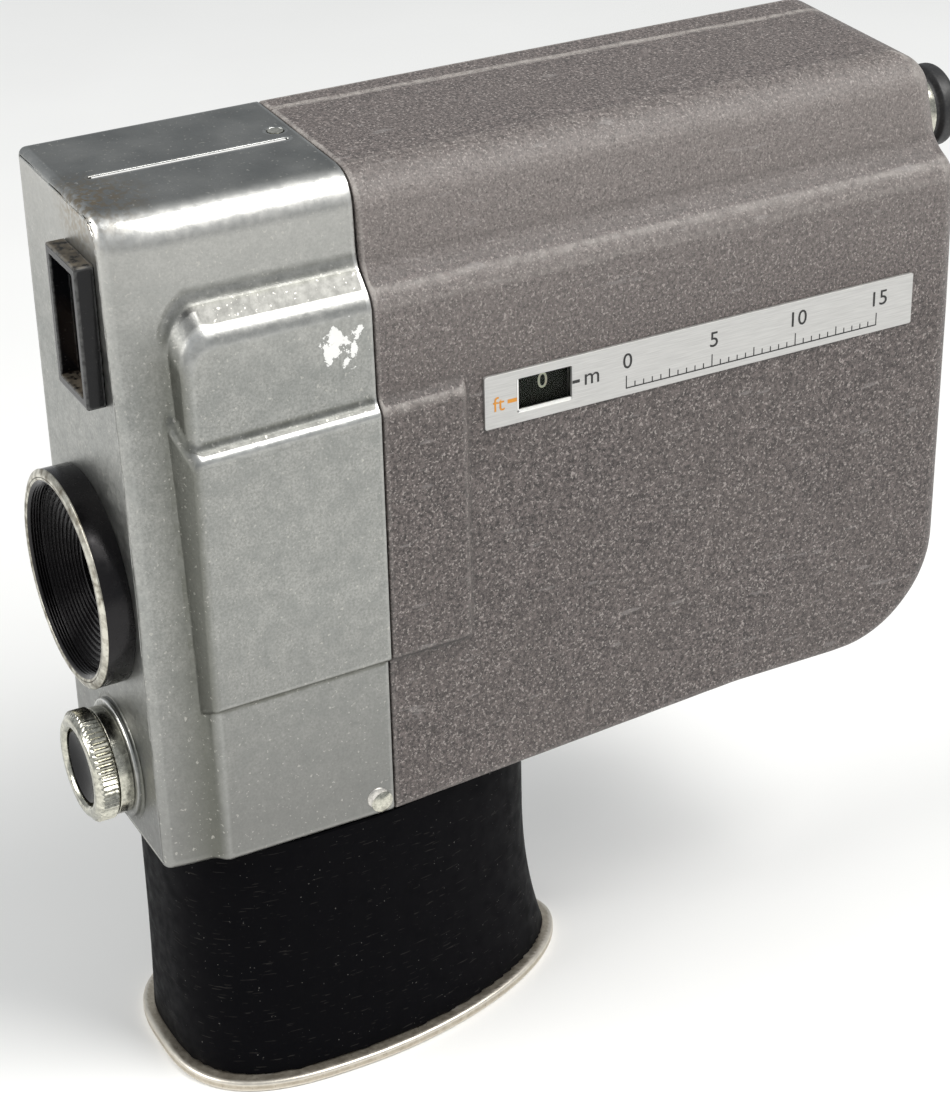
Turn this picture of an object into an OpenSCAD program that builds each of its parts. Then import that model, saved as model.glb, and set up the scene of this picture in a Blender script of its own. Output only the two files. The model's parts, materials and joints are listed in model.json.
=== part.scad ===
// Pistol-grip cine camera for super-8 cartridges.
// X runs from the film-door side to the nameplate side, Y from the lens to the eyepiece, Z up.
// The modules work in body coordinates: x = 0 just inside the film door, y = 0 at the front face and
// z = 0 at the lower edge of the body. place() moves them so the grip stands centred on z = 0.

/* [Body] */
// Height of the body
body_h = 100; // [98:1:102]
// Depth of the body, front face to rear face below the ledge
body_len = 133.5; // [130:0.5:136]
// Nameplate side of the body below the ledge, from the datum
body_w = 35.2; // [35:0.1:36]
// Film-door side of the body, from the datum
far_x = -1.5; // [-1.6:0.1:-1.2]
// Nameplate side of the body at its top, from the datum
top_w = 30.1; // [29.5:0.1:30.5]
// Nameplate side of the front band at its lower end, from the datum
band_w = 34; // [33.5:0.1:34.4]
// Height of the foot of the ledge
ledge_z = 82.4; // [81:0.1:84]
// Rise of the ledge
ledge_rise = 3.2; // [2.5:0.1:3.5]
// Depth at which the bright front housing meets the dark rear housing
seam_y = 35.7; // [35:0.1:36]
// Wall thickness of the die-cast housings
wall = 1.6; // [1.4:0.1:1.8]
// Width of the film door's edge strip on the top of the body
door_w = 4.3; // [4:0.1:4.6]
// Height of the grip below the body
grip_h = 43.1; // [42:0.1:45]

/* [Optics] */
// Distance of the lens axis from the film-door side
lens_x = 13.25; // [13:0.05:14]
// Height of the lens axis
lens_z = 40.3; // [39.5:0.1:41]
// Outer radius of the lens ring
lens_r = 16.2; // [15.5:0.1:16.2]
// Radius of the filter thread in the lens ring
filter_r = 14.3; // [14:0.1:14.6]
// Height of the viewfinder axis
finder_z = 87.3; // [87:0.1:88]
// Distance of the viewfinder axis from the film-door side
finder_x = 21; // [20:0.1:22]

/* [Controls] */
// Distance of the release knob from the film-door side
knob_x = 17.4; // [17:0.1:18]
// Height of the release knob
knob_z = 11.4; // [11:0.1:12]
// Outer radius of the knurled lock ring
knob_r = 8.4; // [8:0.1:8.6]
// Radius of the footage counter disc
counter_r = 15; // [14:0.1:15.2]

/* [Mechanism] */
// Gear module
gear_m = 0.5; // [0.48:0.01:0.5]
// Teeth of the layshaft gear
lay_n = 13; // [12:1:13]
// Teeth of the take-up worm wheel
takeup_n = 50; // [46:1:50]

/* [Hidden] */
$fn = 64;
slack = 0.05;            // fit between pieces of one body
ring_front = 4.6;        // how far the lens ring stands out of the front face
knob_front = 6.7;        // how far the knurled lock ring stands out
eyepiece_end = 138;     // depth of the eyepiece's end
mid_x = body_w / 2;
mid_y = (eyepiece_end - knob_front) / 2;
top_ledge_w = 31.5;      // width of the body just above the ledge
pad_proud = 1.2;         // how far the pad stands out of the side
near_r = 4;              // radii of the section's corners
far_r = 2;
low_r = 1.2;
heel_r = 17;             // radius of the lower rear corner
heel_z = 3.8;            // height of the lower edge at the rear
heel_y = 96;             // where the lower edge stops rising
rear_top_y = body_len - 3.3;
rear_ledge_y = body_len - 1.3;
pinion_n = 12;           // teeth of the motor pinion
shutter_n = 24;          // teeth of the shutter gear
idler_n = 16;            // teeth of the idler gear
grip_half = 20.55;       // half width of the grip base
grip_mid_y = 28.9;       // depth of the grip's widest section
grip_front = 27.3;       // reach of the grip base ahead of that section
grip_rear = 42.1;        // reach of the grip base behind that section
base_t = 1.8;
base_inset = 1.7;        // how far the grip stands inside the rim of its base
plate_t = 1.6;
neck_half = 16.9;        // half width of the grip's neck
neck_front = 25.4;
neck_rear = 36.6;
cell_r = 7.25;           // AA cell
cell_len = 50.5;
cell_pitch = 14.8;
bay_half = (cell_pitch + 15.2) / 2;
cell_z = -40.7;
bush_y = 54;
shutter_x = 17.4;
shutter_z = lens_z + 10.8;
motor_z = shutter_z + gear_m * (pinion_n + shutter_n) / 2;
idler_x = shutter_x + gear_m * (pinion_n + idler_n) / 2;
lay_d = gear_m * (idler_n + lay_n) / 2;
lay_x = idler_x + lay_d * cos(45);
lay_z = motor_z + lay_d * sin(45);
gear_y = 34.4;           // rear face of the gears on the motor side
gear_t = 2.2;
worm_r = 2.2;
takeup_y = 63;
takeup_r = gear_m * takeup_n / 2;
takeup_z = lay_z - worm_r - takeup_r - 0.75;
counter_y = 61.6;
counter_z = 51.3;
hinge_x = -1.86;
hinge_y = 36;
hinge_r = 1.05;
cover_t = 1.5;
cover_half = bay_half + 1.2;
cover_y0 = grip_mid_y - cover_half;
cover_y1 = grip_mid_y + cover_half;
cover_axis_y = cover_y0 + cover_t / 2;
cover_axis_z = -grip_h + cover_t / 2;
latch_y = cover_y1 - 3.6;
slope = heel_z / (heel_y - seam_y);
base_screw_places = [[mid_x, 6.6], [mid_x - 8.6, 61], [mid_x + 8.6, 61]];
post_places = [[44, 24], [44, 74], [110, 24], [110, 74]];   // chassis posts: y, z
low_screw = [33.6, 2.6]; // y, z
meter_x = 7.4;           // exposure meter and iris vane pivot
meter_z = 74;
vane_x = 7.15;
plate_win = [57.2, 66, 60.9, 66.1];   // counter window: y from, y to, z from, z to
silver = [0.74, 0.75, 0.74];
dark = [0.27, 0.25, 0.25];
black = [0.05, 0.05, 0.055];
chrome = [0.85, 0.85, 0.84];
steel = [0.62, 0.63, 0.64];
brass = [0.78, 0.64, 0.32];
champagne = [0.76, 0.70, 0.60];
glass = [0.55, 0.65, 0.72];
sensor = [0.35, 0.28, 0.22];
sleeve = [0.80, 0.62, 0.20];

// ---- helpers -------------------------------------------------------------------------------

function arc(x, z, r, from, to, steps = 6) =
    [for (i = [0:steps]) let (a = from + (to - from) * i / steps) [x + r * cos(a), z + r * sin(a)]];

function signed_power(v, p) = sign(v) * pow(abs(v), p);

// Plan outline of the grip: two half ovals that meet at the widest section
function grip_plan(half, front, rear, rear_power = 2, steps = 56) = [
    for (i = [0:steps - 1]) let (
        a = 360 * i / steps,
        p = sin(a) < 0 ? 2 / 2.87 : 2 / rear_power,
        reach = sin(a) < 0 ? front : rear
    ) [mid_x + half * signed_power(cos(a), p), grip_mid_y + reach * signed_power(sin(a), p)]
];

module place() translate([-mid_x, -mid_y, grip_h]) children();

// Extrude an x-z outline along Y
module along_y(from, to) translate([0, to, 0]) rotate([90, 0, 0]) linear_extrude(to - from) children();

// Extrude a y-z outline along X
module along_x(from, to) translate([from, 0, 0]) rotate([90, 0, 90]) linear_extrude(to - from) children();

module along_z(from, to) translate([0, 0, from]) linear_extrude(to - from) children();

module rod_y(x, z, r, from, to) translate([x, to, z]) rotate([90, 0, 0]) cylinder(r = r, h = to - from);

module rod_x(y, z, r, from, to) translate([from, y, z]) rotate([0, 90, 0]) cylinder(r = r, h = to - from);

module rod_z(x, y, r, from, to) translate([x, y, from]) cylinder(r = r, h = to - from);

module block(from, to) translate(from) cube([to[0] - from[0], to[1] - from[1], to[2] - from[2]]);

// Turned ring about a Y axis: points are [radius, y]
module turned(x, z, points) translate([x, 0, z]) rotate([-90, 0, 0]) rotate_extrude() polygon(points);

// The same about an X axis: points are [radius, x]
module turned_x(y, z, points) translate([0, y, z]) rotate([0, 90, 0]) rotate_extrude() polygon(points);

// Profile of a shallow dome of the given radius, whose rim is at level and whose middle is bulge further
function dome(radius, level, bulge, steps = 8) =
    [for (i = [0:steps]) [radius * i / steps, level + bulge * (1 - pow(i / steps, 2))]];

function reversed(points) = [for (i = [len(points) - 1:-1:0]) points[i]];

// Spur gear outline with straight-flanked teeth, a little slimmer than the space
module gear_outline(teeth, phase = 0) {
    r = gear_m * teeth / 2;
    tip = r + gear_m * 0.82;
    root = r - gear_m * 1.15;
    pitch = 360 / teeth;
    union() {
        circle(r = root);
        for (i = [0:teeth - 1]) rotate(phase + i * pitch) polygon([
            [root - 0.2, -root * sin(pitch * 0.30)], [r, -r * sin(pitch * 0.215)],
            [tip, -tip * sin(pitch * 0.10)], [tip, tip * sin(pitch * 0.10)],
            [r, r * sin(pitch * 0.215)], [root - 0.2, root * sin(pitch * 0.30)]
        ]);
    }
}

// ---- body shapes ---------------------------------------------------------------------------

// Section of the front band, drawn in by t
function band_section(t) = concat(
    arc(far_x + t + low_r, t + low_r, low_r, 180, 270),
    arc(band_w - t - low_r, t + low_r, low_r, 270, 360),
    [[top_ledge_w - t, ledge_z + ledge_rise]],
    arc(top_w - t - near_r, body_h - 0.8 - t - near_r, near_r, 5, 86),
    arc(far_x + t + far_r, body_h - t - far_r, far_r, 90, 180)
);

// Section of the wide body with its ledge, drawn in by t
function wide_section(t) = concat(
    arc(far_x + t + low_r, t + low_r, low_r, 180, 270),
    arc(body_w - t - low_r, t + low_r, low_r, 270, 360),
    [[body_w - t, 60], [body_w - 0.5 - t, ledge_z - t / 2], [top_ledge_w - t, ledge_z + ledge_rise - t / 2]],
    arc(top_w - t - near_r, body_h - 0.8 - t - near_r, near_r, 5, 86),
    arc(far_x + t + far_r, body_h - t - far_r, far_r, 90, 180)
);

// Side outline of the rear body, drawn in by t
function side_outline(t, front = seam_y) = concat(
    [[front, t + slope * (front - seam_y)], [heel_y, heel_z + t]],
    arc(body_len - heel_r, heel_z + heel_r, heel_r - t, 270, 360, 12),
    [[body_len - t, ledge_z - t / 2], [rear_ledge_y - t, ledge_z + ledge_rise - t / 2]],
    arc(rear_top_y - 3, body_h - 3.2, 3 - t / 2, 8, 90, 6),
    [[front, body_h - t + 0.01]]
);

module wide_body(t = 0, front = seam_y) intersection() {
    along_y(front, body_len + 1) polygon(wide_section(t));
    along_x(far_x - 1, body_w + 1) polygon(side_outline(t, front));
    along_z(-1, body_h + 1) polygon(concat(
        [[far_x + t, front - 1], [body_w - t, front - 1]],
        arc(body_w - 3, body_len - 3, 3 - t, 0, 90),
        arc(far_x + 3, body_len - 3, 3 - t, 90, 180)
    ));
}

// Raised step on the nameplate side of the front housing, with sloping edges
module front_step() hull() {
    along_x(top_ledge_w - 1, top_ledge_w - 0.2)
        polygon(concat([[seam_y, 0], [7, 0]],
            arc(13, ledge_z + ledge_rise - 6, 6, 180, 90), [[seam_y, ledge_z + ledge_rise]]));
    along_x(body_w - 0.4, body_w)
        polygon(concat([[seam_y, 0], [9.4, 0]],
            arc(14, ledge_z - 5, 4.6, 180, 90), [[seam_y, ledge_z - 0.4]]));
}

// Raised pad that runs across the seam
module pad(from, to) intersection() {
    hull() {
        along_x(body_w - 1, body_w) polygon([[8.2, 25.9], [49.4, 26.6], [49.4, 67.2], [8.2, 66]]);
        along_x(body_w, body_w + pad_proud) polygon([[8.6, 26.1], [48.8, 26.8], [48.8, 65.4], [8.6, 64.2]]);
    }
    block([0, from, 0], [body_w + pad_proud, to, body_h]);
}

// Bay for two by two upright cells, with round corners
module battery_bay(from, to) along_z(from, to) polygon([
    for (k = [0:3]) let (a = 45 + 90 * k, d = cell_pitch / 2 * sqrt(2))
        each arc(mid_x + d * cos(a), grip_mid_y + d * sin(a), 7.6, a - 45, a + 45)
]);

// ---- casing --------------------------------------------------------------------------------

module front_housing() color(silver) place() difference() {
    union() {
        along_y(0, seam_y) polygon(band_section(0));
        front_step();
        pad(0, seam_y);
        // spigot that enters the rear housing
        difference() {
            intersection() {
                wide_body(wall + slack, seam_y - 2);
                block([8, seam_y - 1, 0], [body_w, seam_y + 3, body_h]);
            }
            wide_body(wall + 1.2, seam_y - 4);
        }
        for (z = [20, 50, 80]) hinge_knuckle(z, 5, -1);
    }
    for (z = [35, 65]) rod_z(hinge_x, hinge_y, hinge_r + 0.3, z - 10, z + 10);
    along_y(-1, plate_t) polygon(band_section(1));
    along_y(-1, seam_y + 1) polygon(band_section(2.2));
    block([20, 10.6, 2.2], [body_w - wall, seam_y + 1, ledge_z - 3]);
    battery_bay(-2, 12);
    // sighting groove on the top
    hull() for (y = [4.9, 33.3]) rod_z(14.3, y, 0.45, body_h - 0.7, body_h + 1);
    rod_z(10.9, 33.2, 1.15, body_h - 4, body_h + 1);
    rod_x(low_screw[0], low_screw[1], 0.8, body_w - 3, body_w + 1);
    rod_z(hinge_x, hinge_y, 0.65, -1, body_h + 1);
}

// One knuckle of the film door's hinge; side is -1 on the housing and 1 on the door
module hinge_knuckle(z, half, side) {
    rod_z(hinge_x, hinge_y, hinge_r, z - half, z + half);
    if (side < 0) block([hinge_x, hinge_y - 2, z - half], [far_x + 0.6, hinge_y - 0.35, z + half]);
    if (side > 0) block([hinge_x, hinge_y + 0.05, z - half], [far_x + 0.6, hinge_y + 2, z + half]);
}

module front_plate() color(silver) place() difference() {
    union() {
        along_y(0, plate_t) polygon(band_section(1 + slack));
        rod_y(knob_x, knob_z, 9, -1, 0.5);
    }
    rod_y(lens_x, lens_z, 11.05, -2, plate_t + 1);
    rod_y(knob_x, knob_z, 6.65, -2, plate_t + 1);
    block([finder_x - 4.7, -1, finder_z - 4.3], [finder_x + 4.7, plate_t + 1, finder_z + 4.3]);
    block([finder_x - 4.2, -1, 73.4], [finder_x + 4.2, plate_t + 1, 81.4]);
}

module main_housing() color(dark) place() difference() {
    union() {
        intersection() {
            wide_body(0, seam_y + 0.3);
            block([door_w + 0.2, 0, -1], [body_w + 1, body_len + 1, body_h + 1]);
        }
        pad(seam_y + 0.3, body_len);
        for (p = post_places) rod_x(p[0], p[1], 2.2, 26.75, body_w - 1);
    }
    difference() {
        wide_body(wall, seam_y - 5);
        for (p = post_places) rod_x(p[0], p[1], 2.2, 26.75, body_w);
    }
    battery_bay(-2, 4);
    block([body_w - 3, plate_win[0] - 0.3, plate_win[2] - 0.3],
        [body_w + 1, plate_win[1] + 0.3, plate_win[3] + 0.3]);
    block([body_w - 0.27, 51.98, 59.28], [body_w + 1, 125.02, 67.52]);
    rod_x(counter_y, counter_z, 0.8, body_w - 3, body_w - 0.8);
    rod_y(finder_x, finder_z, 5.6, rear_top_y - 4, body_len + 2);
    block([8, body_len - 3, 38], [10.6, body_len + 1, 51]);
    for (p = post_places) rod_x(p[0], p[1], 1, 26, body_w - 2);
}

module chassis() color(steel) place() difference() {
    union() {
        block([25.9, 40.2, 12.6], [26.7, 119, 82.2]);
        block([6, 40.2, 12.6], [26.3, 119, 13.4]);
        block([6, 40.2, 81.4], [26.3, 119, 82.2]);
        block([6, 118.2, 12.6], [26.3, 119, 82.2]);
        // bearing for the layshaft's rear end
        block([26.5, 69.6, lay_z - 2.2], [lay_x + 2, 70.8, lay_z + 2.2]);
    }
    rod_x(takeup_y, takeup_z, 2.05, 25, 28);
    rod_y(lay_x, lay_z, 0.85, 69, 72);
    for (p = post_places) rod_x(p[0], p[1], 1.05, 25, 27);
}

module mechanism_plate() color(steel) place() difference() {
    block([2.4, 30.4, 16], [30.6, 31.4, 79]);
    rod_y(lens_x, lens_z, 8.2, 29, 33);
    rod_y(shutter_x, shutter_z, 0.83, 29, 33);
    rod_y(shutter_x, motor_z, 1.9, 29, 33);
    rod_y(idler_x, motor_z, 0.85, 29, 33);
    rod_y(lay_x, lay_z, 0.85, 29, 33);
}

module nameplate() color(silver) place() difference() {
    block([body_w - 0.25, 52, 59.3], [body_w + 0.35, 125, 67.5]);
    block([body_w - 1, plate_win[0], plate_win[2]], [body_w + 1, plate_win[1], plate_win[3]]);
}

module counter_window() color(glass) place()
    block([body_w - 1.1, plate_win[0] - 0.25, plate_win[2] - 0.25],
        [body_w - 0.3, plate_win[1] + 0.25, plate_win[3] + 0.25]);

module counter_pivot() color(steel) place()
    rod_x(counter_y, counter_z, 0.78, body_w - 3.8, body_w - 0.9);

module grip_shell() color(black) place() difference() {
    union() {
        grip_body();
        // wedge that follows the rising lower edge of the rear body
        intersection() {
            along_z(-1, 3) polygon(grip_plan(neck_half, neck_front, neck_rear));
            along_x(-1, body_w + 1)
                polygon([[seam_y, -1], [seam_y, -0.3], [70, -0.3 + slope * (70 - seam_y)], [70, -1]]);
        }
    }
    battery_bay(-grip_h - 1, 4);
    rod_z(mid_x, bush_y, 6.1, -grip_h, -grip_h + 3.5);
    rod_z(mid_x, bush_y, 4.4, -grip_h, -grip_h + 9.3);
    for (p = base_screw_places) rod_z(p[0], p[1], 0.8, -grip_h, -grip_h + 7.2);
}

// Outer form of the grip: a straight neck that flares out to the base
module grip_body() {
    rings = 14;
    steps = 56;
    function level(i) = -0.3 - (grip_h - base_t - 0.3) * i / rings;
    function flare(i) = pow(max(0, i / rings - 0.35) / 0.65, 2.2);
    function ring(i) = let (f = flare(i)) grip_plan(neck_half + (grip_half - base_inset - neck_half) * f,
        neck_front + (grip_front - base_inset - neck_front) * f,
        neck_rear + (grip_rear - base_inset - neck_rear) * f, 2 - 0.13 * f, steps);
    points = [for (i = [0:rings]) for (p = ring(i)) [p[0], p[1], level(i)]];
    sides = [for (i = [0:rings - 1]) for (k = [0:steps - 1]) let (n = (k + 1) % steps)
        [i * steps + k, i * steps + n, (i + 1) * steps + n, (i + 1) * steps + k]];
    top = [for (k = [steps - 1:-1:0]) k];
    bottom = [for (k = [0:steps - 1]) rings * steps + k];
    polyhedron(points, concat(sides, [top], [bottom]));
}

module grip_base() color(champagne) place() difference() {
    along_z(-grip_h, -grip_h + base_t) polygon(grip_plan(grip_half, grip_front, grip_rear, 1.87));
    block([mid_x - cover_half - 0.3, cover_y0 - 0.3, -grip_h - 1],
        [mid_x + cover_half + 0.3, cover_y1 + 0.3, -grip_h + 3]);
    rod_z(mid_x, bush_y, 4.4, -grip_h - 1, -grip_h + 3);
    for (p = base_screw_places) {
        rod_z(p[0], p[1], 1.9, -grip_h - 1, -grip_h + 1);
        rod_z(p[0], p[1], 0.85, -grip_h - 1, -grip_h + 3);
    }
    for (x = [-1, 1]) rod_x(cover_axis_y, cover_axis_z, 0.47, mid_x + x * 17 - 1.2, mid_x + x * 17 + 1.2);
}

module base_screws() color(chrome) place() for (p = base_screw_places) difference() {
    union() {
        rod_z(p[0], p[1], 1.85, -grip_h + 0.15, -grip_h + 0.95);
        rod_z(p[0], p[1], 0.78, -grip_h + 0.15, -grip_h + 7);
    }
    block([p[0] - 2, p[1] - 0.2, -grip_h], [p[0] + 2, p[1] + 0.2, -grip_h + 0.5]);
}

module tripod_bush() color(brass) place() difference() {
    union() {
        rod_z(mid_x, bush_y, 4.35, -grip_h, -grip_h + 9);
        rod_z(mid_x, bush_y, 6, -grip_h + base_t + 0.05, -grip_h + 3.2);
    }
    rod_z(mid_x, bush_y, 3.175, -grip_h - 1, -grip_h + 7.5);
}

module housing_screws() color(chrome) place() {
    // domed screw at the lower corner of the front housing
    turned_x(low_screw[0], low_screw[1], concat(
        dome(1.7, body_w + 0.25, 0.5), [[1.7, body_w], [0.75, body_w], [0.75, body_w - 2], [0, body_w - 2]]
    ));
    // countersunk screw in the top
    rod_z(10.9, 33.2, 1.1, body_h - 1.9, body_h - 0.35);
    // screws that hold the chassis to its posts
    for (p = post_places) {
        rod_x(p[0], p[1], 0.98, 25.2, body_w - 3);
        rod_x(p[0], p[1], 1.9, 25.1, 25.85);
    }
}

// ---- viewfinder and meter ------------------------------------------------------------------

module viewfinder_bezel() color(black) place() difference() {
    block([15.5, -2.8, 72], [26.5, -0.02, 92.5]);
    block([finder_x - 4.4, -4, 83], [finder_x + 4.4, 1, finder_z + 4.1]);
    block([finder_x - 4.4, -4, 73.2], [finder_x + 4.4, -1.6, 83.5]);
    block([finder_x - 4.1, -4, 73.5], [finder_x + 4.1, 1, 81.3]);
}

module finder_window() color(glass) place()
    block([finder_x - 4.5, 0.1, finder_z - 4.15], [finder_x + 4.5, 1.3, finder_z + 4.15]);

module finder_tube() color(black) place() difference() {
    rod_y(finder_x, finder_z, 4.9, 2.6, rear_top_y + 0.2);
    rod_y(finder_x, finder_z, 4.1, 1, rear_top_y + 2);
}

module eyepiece() color(black) place() turned(finder_x, finder_z, [
    [3.6, rear_top_y + 0.3], [5.5, rear_top_y + 0.3], [5.5, eyepiece_end - 3.2], [6.3, eyepiece_end - 2.6],
    [6.3, eyepiece_end - 0.5], [5.8, eyepiece_end], [5.2, eyepiece_end], [4.6, eyepiece_end - 2.4],
    [4.6, eyepiece_end - 3.6], [3.6, eyepiece_end - 3.6]
]);

module eye_lens() color(glass) place() turned(finder_x, finder_z,
    concat(dome(4.5, eyepiece_end - 2.7, 1.2), [[4.5, eyepiece_end - 3.55], [0, eyepiece_end - 3.55]]));

module meter_cell() color(sensor) place()
    block([finder_x - 4, 0.1, 73.6], [finder_x + 4, 3, 81.2]);

module exposure_meter() color(steel) place() {
    rod_y(meter_x, meter_z, 5, 12, 24);
    rod_y(meter_x, meter_z, 1.6, 23.9, 26.4);
    rod_y(meter_x, meter_z, 0.55, 26.3, 30.25);
}

// ---- lens ----------------------------------------------------------------------------------

module lens_ring() color(black) place() turned(lens_x, lens_z, [
    [filter_r, -ring_front], [lens_r - 1.3, -ring_front], [lens_r, -ring_front + 1], [lens_r, -0.02],
    [11, -0.02], [11, 4], [10.4, 4], [10.4, -0.8], [13.9, -0.8], [13.9, -2.6], [filter_r, -2.6]
]);

// Stepped cone that keeps stray light off the front element
module lens_baffle() color(black) place() turned(lens_x, lens_z, concat(
    [for (i = [0:9]) each [[13.4 - 0.75 * i, -2.55 + 0.3 * i], [13.4 - 0.75 * i, -2.25 + 0.3 * i]]],
    [[6.65, 3.4], [10.3, 3.4], [10.3, -0.85], [13.85, -0.85], [13.85, -2.55]]
));

module lens_cell() color(black) place() turned(lens_x, lens_z, [
    [6.6, 3.45], [10.3, 3.45], [10.3, 9], [8, 9], [8, 29.6], [5.1, 29.6], [5.1, 26], [4.4, 26],
    [4.4, 12], [7.6, 7.6], [7.6, 4.4], [6.6, 4.4]
]);

module front_element() color(glass) place() turned(lens_x, lens_z,
    concat(dome(7.5, 6.9, -2.3), reversed(dome(7.5, 7.5, 1.2))));

module rear_element() color(glass) place() turned(lens_x, lens_z,
    concat([[0, 26.1], [5, 26.1]], reversed(dome(5, 28.1, 1.1))));

module iris_vane() color(steel) place() difference() {
    union() {
        block([vane_x - 0.8, 29.8, lens_z + 3], [vane_x + 0.8, 30.1, meter_z]);
        rod_y(vane_x, lens_z, 4.4, 29.8, 30.1);
        rod_y(meter_x, meter_z, 1.9, 29.8, 30.1);
    }
    rod_y(meter_x, meter_z, 0.6, 29, 31);
}

// ---- film drive ----------------------------------------------------------------------------

module film_gate() color(steel) place() difference() {
    block([3, 38.6, 15], [25, 39.6, 81]);
    block([lens_x - 2.9, 38, lens_z - 2.07], [lens_x + 2.9, 40, lens_z + 2.07]);
    block([16.2, 38, 52.6], [19.8, 40, 66.2]);
    rod_y(shutter_x, shutter_z, 0.83, 38, 40);
}

module drive_motor() color(steel) place() difference() {
    union() {
        rod_y(shutter_x, motor_z, 8.9, 9.4, 29.5);
        rod_y(shutter_x, motor_z, 3, 7.8, 9.5);
        rod_y(shutter_x, motor_z, 1.8, 29.4, 31.5);
    }
    rod_y(shutter_x, motor_z, 0.82, 26, 33);
}

module motor_pinion() color(brass) place() {
    rod_y(shutter_x, motor_z, 0.78, 27, gear_y + 0.4);
    along_y(gear_y - gear_t, gear_y) translate([shutter_x, motor_z]) gear_outline(pinion_n, 15);
}

module shutter_shaft() color(steel) place() rod_y(shutter_x, shutter_z, 0.78, 30.5, 39.4);

module shutter_gear() color(brass) place() difference() {
    along_y(gear_y - gear_t, gear_y) translate([shutter_x, shutter_z]) gear_outline(shutter_n);
    rod_y(shutter_x, shutter_z, 0.78, 30, 36);
}

// Shutter: a disc with an open sector of 150 degrees
module shutter_disc() color(black) place() difference() {
    rod_y(shutter_x, shutter_z, 13.9, 37, 37.3);
    rod_y(shutter_x, shutter_z, 0.78, 36, 38);
    along_y(36, 38) translate([shutter_x, shutter_z])
        polygon(concat([[0, -3]], arc(0, 0, 40, 195, 345, 8)));
}

module film_claw() color(steel) place() {
    block([16.6, 37.8, 65.4], [19.4, 38.4, 73.9]);
    block([17.4, 37.9, 57.6], [18.6, 38.3, 66]);
    block([17.5, 37.9, 57.6], [18.4, 40.4, 58.5]);
}

module idler_gear() color(brass) place() difference() {
    union() {
        along_y(gear_y - gear_t, gear_y) translate([idler_x, motor_z]) gear_outline(idler_n);
        rod_y(idler_x, motor_z, 1.6, gear_y - gear_t - 0.4, gear_y + 0.4);
        rod_y(idler_x, motor_z, 0.8, 30, gear_y + 0.4);
    }
}

module layshaft() color(steel) place() {
    along_y(gear_y - gear_t, gear_y) translate([lay_x, lay_z]) gear_outline(lay_n, 225 + 180 / lay_n);
    rod_y(lay_x, lay_z, 0.8, 30, takeup_y + 8);
    for (i = [0:6]) turned(lay_x, lay_z, [
        [0.5, takeup_y - 6 + i * 1.7], [1.6, takeup_y - 6 + i * 1.7], [worm_r, takeup_y - 5.4 + i * 1.7],
        [worm_r, takeup_y - 5.1 + i * 1.7], [1.6, takeup_y - 4.5 + i * 1.7], [0.5, takeup_y - 4.3 + i * 1.7]
    ]);
}

module takeup_spindle() color(steel) place() {
    rod_x(takeup_y, takeup_z, 2, 24, 30.8);
    rod_x(takeup_y, takeup_z, 3, 18, 25.2);
    for (a = [0, 120, 240]) along_x(17.4, 24)
        translate([takeup_y, takeup_z]) rotate(a) translate([2.6, -0.6]) square([1.6, 1.2]);
}

module takeup_gear() color(brass) place() difference() {
    along_x(28.3, 30.6) translate([takeup_y, takeup_z]) gear_outline(takeup_n);
    rod_x(takeup_y, takeup_z, 2, 28, 31);
}

module counter_disc() color(black) place() difference() {
    rod_x(counter_y, counter_z, counter_r, 32.1, 32.9);
    rod_x(counter_y, counter_z, 0.83, 31.8, 34);
}

// ---- controls ------------------------------------------------------------------------------

module release_collar() color(chrome) place() turned(knob_x, knob_z, [
    [8.1, -1.02], [8.1, -3.2], [6.6, -3.2], [6.6, -5], [5.47, -5], [5.47, 4.5], [2.1, 4.5], [2.1, 6],
    [6.6, 6], [6.6, -1.02]
]);

module lock_ring() color(chrome) place() difference() {
    turned(knob_x, knob_z, [
        [6.67, -3.3], [knob_r, -3.3], [knob_r, -5.7], [knob_r - 1, -knob_front], [6, -knob_front],
        [5.8, -6.2], [5.8, -5.1], [6.67, -5.1]
    ]);
    for (i = [0:35]) translate([knob_x, 0, knob_z]) rotate([0, i * 10, 0])
        block([knob_r - 0.3, -5.75, -0.3], [knob_r + 1, -3.2, 0.3]);
}

module release_button() color(black) place() turned(knob_x, knob_z,
    concat(dome(5.1, -6, 1), [[5.4, -5.8], [5.4, -2.8], [2.03, -2.8], [2.03, 8.6], [0, 8.6]]));

// Coil spring behind the release button
module release_spring() color(steel) place() {
    turns = 4.5;
    per_turn = 16;
    sides = 6;
    wire = 0.35;
    coil_r = 3.7;
    rise = 6.2;
    count = turns * per_turn;
    points = [for (i = [0:count]) for (k = [0:sides - 1]) let (
        a = 360 * i / per_turn, b = 360 * k / sides, r = coil_r + wire * cos(b)
    ) [knob_x + r * cos(a), -2.3 + rise * i / count + wire * sin(b), knob_z + r * sin(a)]];
    walls = [for (i = [0:count - 1]) for (k = [0:sides - 1]) let (n = (k + 1) % sides)
        [i * sides + k, i * sides + n, (i + 1) * sides + n, (i + 1) * sides + k]];
    start = [for (k = [sides - 1:-1:0]) k];
    end = [for (k = [0:sides - 1]) count * sides + k];
    polyhedron(points, concat(walls, [start], [end]));
}

module release_switch() color(black) place() {
    block([knob_x - 5, 11, knob_z - 3.4], [knob_x + 5, 13.7, knob_z + 3.4]);
    block([knob_x - 1.2, 10.5, knob_z - 1.2], [knob_x + 1.2, 11.1, knob_z + 1.2]);
}

// ---- film door -----------------------------------------------------------------------------

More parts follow.
